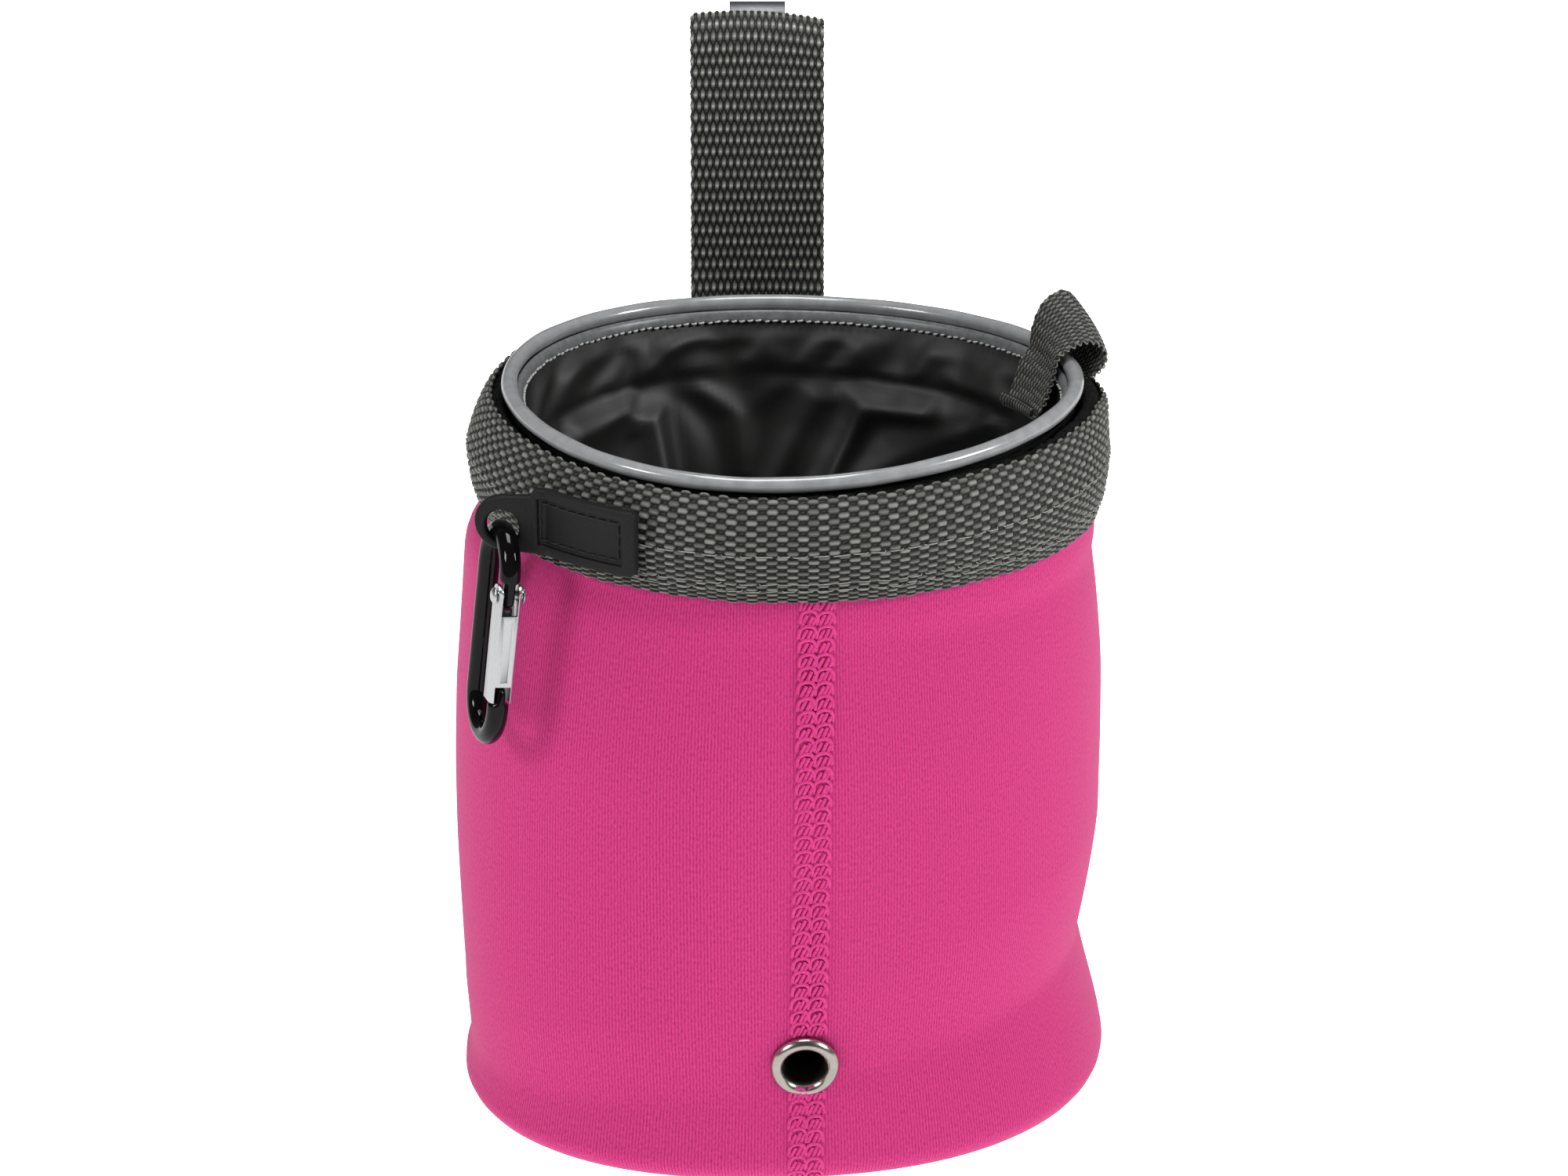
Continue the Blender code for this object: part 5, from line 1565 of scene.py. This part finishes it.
# Spun black thread: a shade greyer than the rubber, so it shows mostly by its shape.
label_thread = grained("black sewing thread", 0.4, ("#0C0C0C", "#1D1D1D"), 0.04, Roughness=0.6)
near = FIELD_INSET + FIELD_SHIFT[1]
far = PLATE_LENGTH - FIELD_INSET + FIELD_SHIFT[1]
half = LABEL_HALF - FIELD_INSET
corners = [(near, -half), (far, -half), (far, half), (near, half), (near, -half)]
lines = []
for (s0, t0), (s1, t1) in zip(corners[:-1], corners[1:]):
    count = max(1, round(math.hypot(s1 - s0, t1 - t0) / LABEL_STITCH))
    for k in range(count):
        line = []
        for share, lift in SEWN_SHAPE:
            place, facing = label_station(mix(s0, s1, (k + share) / count))
            outward = np.array((math.cos(facing), math.sin(facing), 0))
            up = np.array((0, 0, PLATE_RISE + mix(t0, t1, (k + share) / count)))
            line.append(place + up + outward * lift)
        lines.append(line)
label_stitches = threads("label_stitching", lines, LABEL_THREAD_RADIUS)
place_piece(label_stitches, label_thread, "black_rubber", "pouch")

# %% [markdown]
# ## Label's tab
# The tab narrows from the plate to a round end with a hole for the carabiner. It could be drawn as an
# outline, but a disc and a bar inside one convex hull give exactly that shape. The hole is cut with a
# boolean while the piece is flat, and then the tab is bent with the label.

# %% Label's tab
LABEL_TAB_RADIUS = 4.9
LABEL_TAB_THICKNESS = 1.8
LABEL_TAB_MIDDLE = 0.95
LABEL_TAB_DROP = 0.4
ROOT_INSET = 0.6
ROOT_WIDTH = 1.4
ROOT_DROP = 0.2
TAB_HOLE_RADIUS = 2.95
TAB_HOLE_DROP = 0.95
TAB_END_X = -(LABEL_LENGTH + LABEL_TAB_REACH)


def cut_away(piece, cutter):
    """Takes one object out of another and deletes it."""
    bpy.ops.object.select_all(action='DESELECT')
    bpy.context.view_layer.objects.active = piece
    piece.select_set(True)
    bpy.ops.object.modifier_add(type='BOOLEAN')
    piece.modifiers[-1].object = cutter
    piece.modifiers[-1].solver = 'EXACT'
    bpy.ops.object.modifier_apply(modifier=piece.modifiers[-1].name)
    bpy.data.objects.remove(cutter, do_unlink=True)


bpy.ops.object.select_all(action='DESELECT')
bpy.ops.mesh.primitive_cylinder_add(
    vertices=64, radius=LABEL_TAB_RADIUS * MM, depth=LABEL_TAB_THICKNESS * MM,
    location=(TAB_END_X * MM, -LABEL_TAB_DROP * MM, LABEL_TAB_MIDDLE * MM))
label_tab = bpy.context.object
label_tab.name = label_tab.data.name = "label_tab"
bpy.ops.object.transform_apply(location=True)
bpy.ops.object.mode_set(mode='EDIT')
bpy.ops.mesh.primitive_cube_add(
    size=1, location=(-(PLATE_LENGTH - ROOT_INSET) * MM, -ROOT_DROP * MM, LABEL_TAB_MIDDLE * MM),
    scale=(ROOT_WIDTH * MM, 2 * (LABEL_HALF - ROOT_INSET) * MM, LABEL_TAB_THICKNESS * MM))
bpy.ops.mesh.select_all(action='SELECT')
bpy.ops.mesh.convex_hull()
bpy.ops.mesh.dissolve_limited(angle_limit=math.radians(1))
bpy.ops.object.mode_set(mode='OBJECT')
bpy.ops.mesh.primitive_cylinder_add(vertices=64, radius=TAB_HOLE_RADIUS * MM, depth=8 * MM,
                                    location=(TAB_END_X * MM, -TAB_HOLE_DROP * MM, 0))
cut_away(label_tab, bpy.context.object)
round_edges(label_tab, 0.5, 4)
wrap_on_band(label_tab)
place_piece(label_tab, rubber, "black_rubber", "pouch")

# %% [markdown]
# ## Wire of the carabiner
# The carabiner is one round wire, bent into a long ring that is open at one side, with both ends
# flattened for the gate. A bevelled curve would be round all along, so the wire is a grid bent round
# rows of centre, heading and half sizes. It is laid out in the carabiner's own plane and then turned
# into place.

# %% Stations along the wire
BOW_RADIUS = 6.5
WIRE_HALF = 1.85
LOWER_BOW = -23.3
BOW_SPAN = 176
BOW_STATIONS = 40
# Rows of height, half size in the ring's plane and half size across it, at the flattened ends.
PIVOT_END = [(-4.8, 0.3, 0.5), (-4.7, 0.8, 0.9), (-4.3, 1.35, 1.05), (-3.4, 1.75, 1.05), (-2.7, 1.85, 1.05),
             (-0.5, 1.85, 1.05), (-0.2, 1.85, 1.5), (0.0, 1.85, 1.85)]
NOSE_END = [(-22.6, 1.85, 1.85), (-22.2, 1.85, 1.7), (-21.9, 1.85, 1.05), (-20.4, 1.7, 1.05),
            (-19.5, 1.3, 0.9), (-19.1, 0.5, 0.4)]


def wire_stations():
    """Rows of centre X and Z, heading, half size in the plane and across it, from pivot to nose."""
    rows = [(BOW_RADIUS, z, 90, half, thick) for z, half, thick in PIVOT_END]
    for first, middle in ((4, 0), (180, LOWER_BOW)):
        for turn in np.linspace(first, first + BOW_SPAN, BOW_STATIONS):
            x = BOW_RADIUS * math.cos(math.radians(turn))
            z = middle + BOW_RADIUS * math.sin(math.radians(turn))
            rows.append((x, z, 90 + turn, WIRE_HALF, WIRE_HALF))
    rows += [(BOW_RADIUS, z, 450, half, thick) for z, half, thick in NOSE_END]
    return np.array(rows, float)


STATIONS = wire_stations()
print("wire has", len(STATIONS), "stations")

# %% Wire of the carabiner
# Rows of the carabiner's own X, Y and Z in the pouch's axes, and its origin in millimetres.
carabiner_way = np.array(((0.2924, -0.9563, 0.0), (0.951066, 0.29077, -0.104528), (0.1, 0.0306, 0.9945)))
carabiner_origin = np.array((-48.546, -39.918, 109.11))
# Black anodised aluminium, polished before it was dyed: almost no tone of its own, only crisp reflections.
black_anodised = grained("black anodised wire", 3.0, ("#060607", "#0B0B0C"), 0.004, Roughness=0.06,
                         Specular_IOR_Level=0.25)


def wire_place(u, v):
    """Places on the wire's skin, turned from the carabiner's plane into the pouch's axes."""
    even = np.linspace(0, 1, len(STATIONS))
    spots = np.stack([np.interp(u, even, column) for column in STATIONS.T], axis=-1)
    heading = np.radians(spots[:, 2])
    in_plane = np.cos(2 * math.pi * v) * spots[:, 3]
    x = spots[:, 0] + np.sin(heading) * in_plane
    z = spots[:, 1] - np.cos(heading) * in_plane
    y = np.sin(2 * math.pi * v) * spots[:, 4]
    return carabiner_origin + np.stack((x, y, z), axis=-1) @ carabiner_way


wire = bent_grid("carabiner_wire", len(STATIONS) - 1, 28, wire_place)
close_ends()
place_piece(wire, black_anodised, "black_carabiner", "carabiner", "carabiner_body")

# %% [markdown]
# ## Belt clip, rivets and hidden steel
# The belt clip and the rivets are plain pressed steel, and the CAD already has their true shapes. They
# would be too sharp as they are, since real edges are never perfect. So each is copied, its loose
# triangles are joined and its edges are rounded. Pieces that hardly show keep their CAD shape and only
# get a finish.

# %% Hardware with rounded edges
# Bright zinc plate on drawn steel: nearly white, with fine upright lines in its blurred reflections.
bright_steel = grained("bright plated gate steel", 0.6, ("#CFD0D1", "#E0E1E2"), 0.01, stretch=(6, 6, 1),
                       Metallic=1.0, Roughness=0.3)
# Brushed spring steel: a dull middle grey with fine lines across it, which mirrors nothing clearly.
clip_steel = grained("satin clip steel", 0.5, ("#6C6D70", "#838487"), 0.01, stretch=(1, 8, 8), Metallic=1.0,
                     Roughness=0.5)
# Drawn wire: bright, with a faint even grain.
spring_steel = grained("drawn spring wire", 0.5, ("#B0B0B0", "#C8C8C8"), 0.01, Metallic=1.0, Roughness=0.3)


def rounded_copy(node_name, name, material, slot, body, width):
    """Copy of a CAD node whose loose triangles are joined and whose edges are rounded."""
    bpy.ops.object.select_all(action='DESELECT')
    copy = bpy.data.objects.new(name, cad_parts[node_name].data.copy())
    copy.data.name = name
    bpy.context.collection.objects.link(copy)
    copy.select_set(True)
    bpy.context.view_layer.objects.active = copy
    bpy.ops.object.mode_set(mode='EDIT')
    bpy.ops.mesh.select_all(action='SELECT')
    bpy.ops.mesh.remove_doubles(threshold=0.00001)
    bpy.ops.mesh.customdata_custom_splitnormals_clear()
    bpy.ops.mesh.dissolve_limited(angle_limit=math.radians(1))
    bpy.ops.object.mode_set(mode='OBJECT')
    round_edges(copy, width, 3, 40)
    bpy.ops.object.shade_smooth_by_angle(angle=math.radians(40))
    return place_piece(copy, material, slot, body, node_name)


rounded_copy("gate_rivet", "gate_rivet_pin", bright_steel, "bright_gate", "carabiner", 0.1)
rounded_copy("belt_clip", "belt_clip_plate", clip_steel, "clip_steel", "strap", 0.2)
leg = rounded_copy("belt_clip_leg", "belt_clip_spring_leg", clip_steel, "clip_steel", "clip_leg", 0.2)
rounded_copy("clip_rivet_upper", "upper_clip_rivet", clip_steel, "clip_steel", "strap", 0.1)
rounded_copy("clip_rivet_lower", "lower_clip_rivet", clip_steel, "clip_steel", "strap", 0.1)
for node_name, finish in (("gate_spring", spring_steel), ("gate_plunger", clip_steel),
                          ("rim_hoop", spring_steel), ("eyelet_washer", nickel)):
    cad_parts[node_name].data.materials.clear()
    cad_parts[node_name].data.materials.append(finish)

# %% [markdown]
# ## Clip's leg
# On the real clip the leg and the bend are one strip of steel. In the model the leg turns on a hinge at
# the end of the bend, and a gap would open there when it flexes. The leg's top is drawn up into the
# bend to cover it.

# %% Clip's leg drawn into the bend
LEG_OVERLAP = 0.8
leg_top = max(vertex.co.z for vertex in leg.data.vertices)
for vertex in leg.data.vertices:
    if vertex.co.z > leg_top - 0.5 * MM:
        vertex.co.z += LEG_OVERLAP * MM
print("leg reaches", LEG_OVERLAP, "mm into the bend")

# %% [markdown]
# ## Gate of the carabiner
# The gate is a channel folded from sheet steel that straddles the wire's two flattened ends. Folding it
# from a plane would need many steps, and a solid block with hollows has the same faces. It is shaped
# upright at the origin, in the carabiner's own plane, where its cuts are square, and moved to its place
# at the end.

# %% Gate block with rounded edges
GATE_X = (4.5, 8.5)
GATE_Z = (-21.6, -0.7)
GATE_HALF = 2.1
GATE_TOP_ROUND = 1.9
GATE_BACK_ROUND = 1.0
bpy.ops.object.select_all(action='DESELECT')
bpy.ops.mesh.primitive_cube_add(
    size=1, location=(sum(GATE_X) / 2 * MM, 0, sum(GATE_Z) / 2 * MM),
    scale=((GATE_X[1] - GATE_X[0]) * MM, 2 * GATE_HALF * MM, (GATE_Z[1] - GATE_Z[0]) * MM))
bpy.ops.object.transform_apply(location=True, scale=True)
gate = bpy.context.object
gate.name = gate.data.name = "gate_channel"


def edge_middle(edge):
    """Middle of one of the gate's edges in millimetres."""
    return sum((gate.data.vertices[i].co for i in edge.vertices), Vector()) / 2 / MM


def edge_way(edge):
    """Direction of one of the gate's edges."""
    first, second = (gate.data.vertices[i].co for i in edge.vertices)
    return (second - first).normalized()


select_only(gate, 'EDGE', lambda edge: abs(edge_way(edge).y) > 0.9 and edge_middle(edge).z > -1)
bpy.ops.mesh.bevel(offset=GATE_TOP_ROUND * MM, segments=8)
bpy.ops.object.mode_set(mode='OBJECT')
select_only(gate, 'EDGE', lambda edge: abs(edge_way(edge).z) > 0.9 and edge_middle(edge).x > 8.3)
bpy.ops.mesh.bevel(offset=GATE_BACK_ROUND * MM, segments=6)
bpy.ops.object.mode_set(mode='OBJECT')
print("gate block", len(gate.data.polygons), "faces")

# %% [markdown]
# ## Hollows, slots and pivot hole of the gate
# The channel is open towards the ring, forked at both ends and has a long slot down its back. Each cut
# is a box, because the punch that makes it is one, and the pivot hole is a cylinder. A fine bevel
# rounds what is left.

# %% Hollows, slots and pivot hole of the gate
# Boxes to cut away, each by its X, Y and Z.
GATE_CUTS = [((3.5, 7.9), (-1.5, 1.5), (-14, 1)), ((3.5, 7.9), (-1.5, 1.5), (-22.6, -14.6)),
             ((3.5, 9), (-1.4, 1.4), (-5.9, 1)), ((3.5, 9), (-1.4, 1.4), (-22.6, -18.7)),
             ((8.25, 9), (-0.62, 0.62), (-17.9, -6.9))]
PIVOT_HEIGHT = -2.7
PIVOT_RADIUS = 1.0
for box in GATE_CUTS:
    bpy.ops.mesh.primitive_cube_add(size=1, location=[sum(side) / 2 * MM for side in box],
                                    scale=[(side[1] - side[0]) * MM for side in box])
    cut_away(gate, bpy.context.object)
bpy.ops.mesh.primitive_cylinder_add(
    vertices=32, radius=PIVOT_RADIUS * MM, depth=10 * MM,
    location=(BOW_RADIUS * MM, 0, PIVOT_HEIGHT * MM), rotation=(math.pi / 2, 0, 0))
cut_away(gate, bpy.context.object)
round_edges(gate, 0.14, 2, 40)
for vertex in gate.data.vertices:
    vertex.co = Vector(carabiner_origin + np.array(vertex.co) / MM @ carabiner_way) * MM
bpy.ops.object.shade_smooth_by_angle(angle=math.radians(40))
place_piece(gate, bright_steel, "bright_gate", "gate", "carabiner_gate")

# %% [markdown]
# ## Sizes and finish
# The dressed pouch should be as large as the CAD model, or its joints would no longer fit. The box round
# all shown pieces is measured and printed.

# %% Sizes and finish
low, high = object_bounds()
print("visual box", [round((b - a) / MM, 1) for a, b in zip(low, high)], "mm")
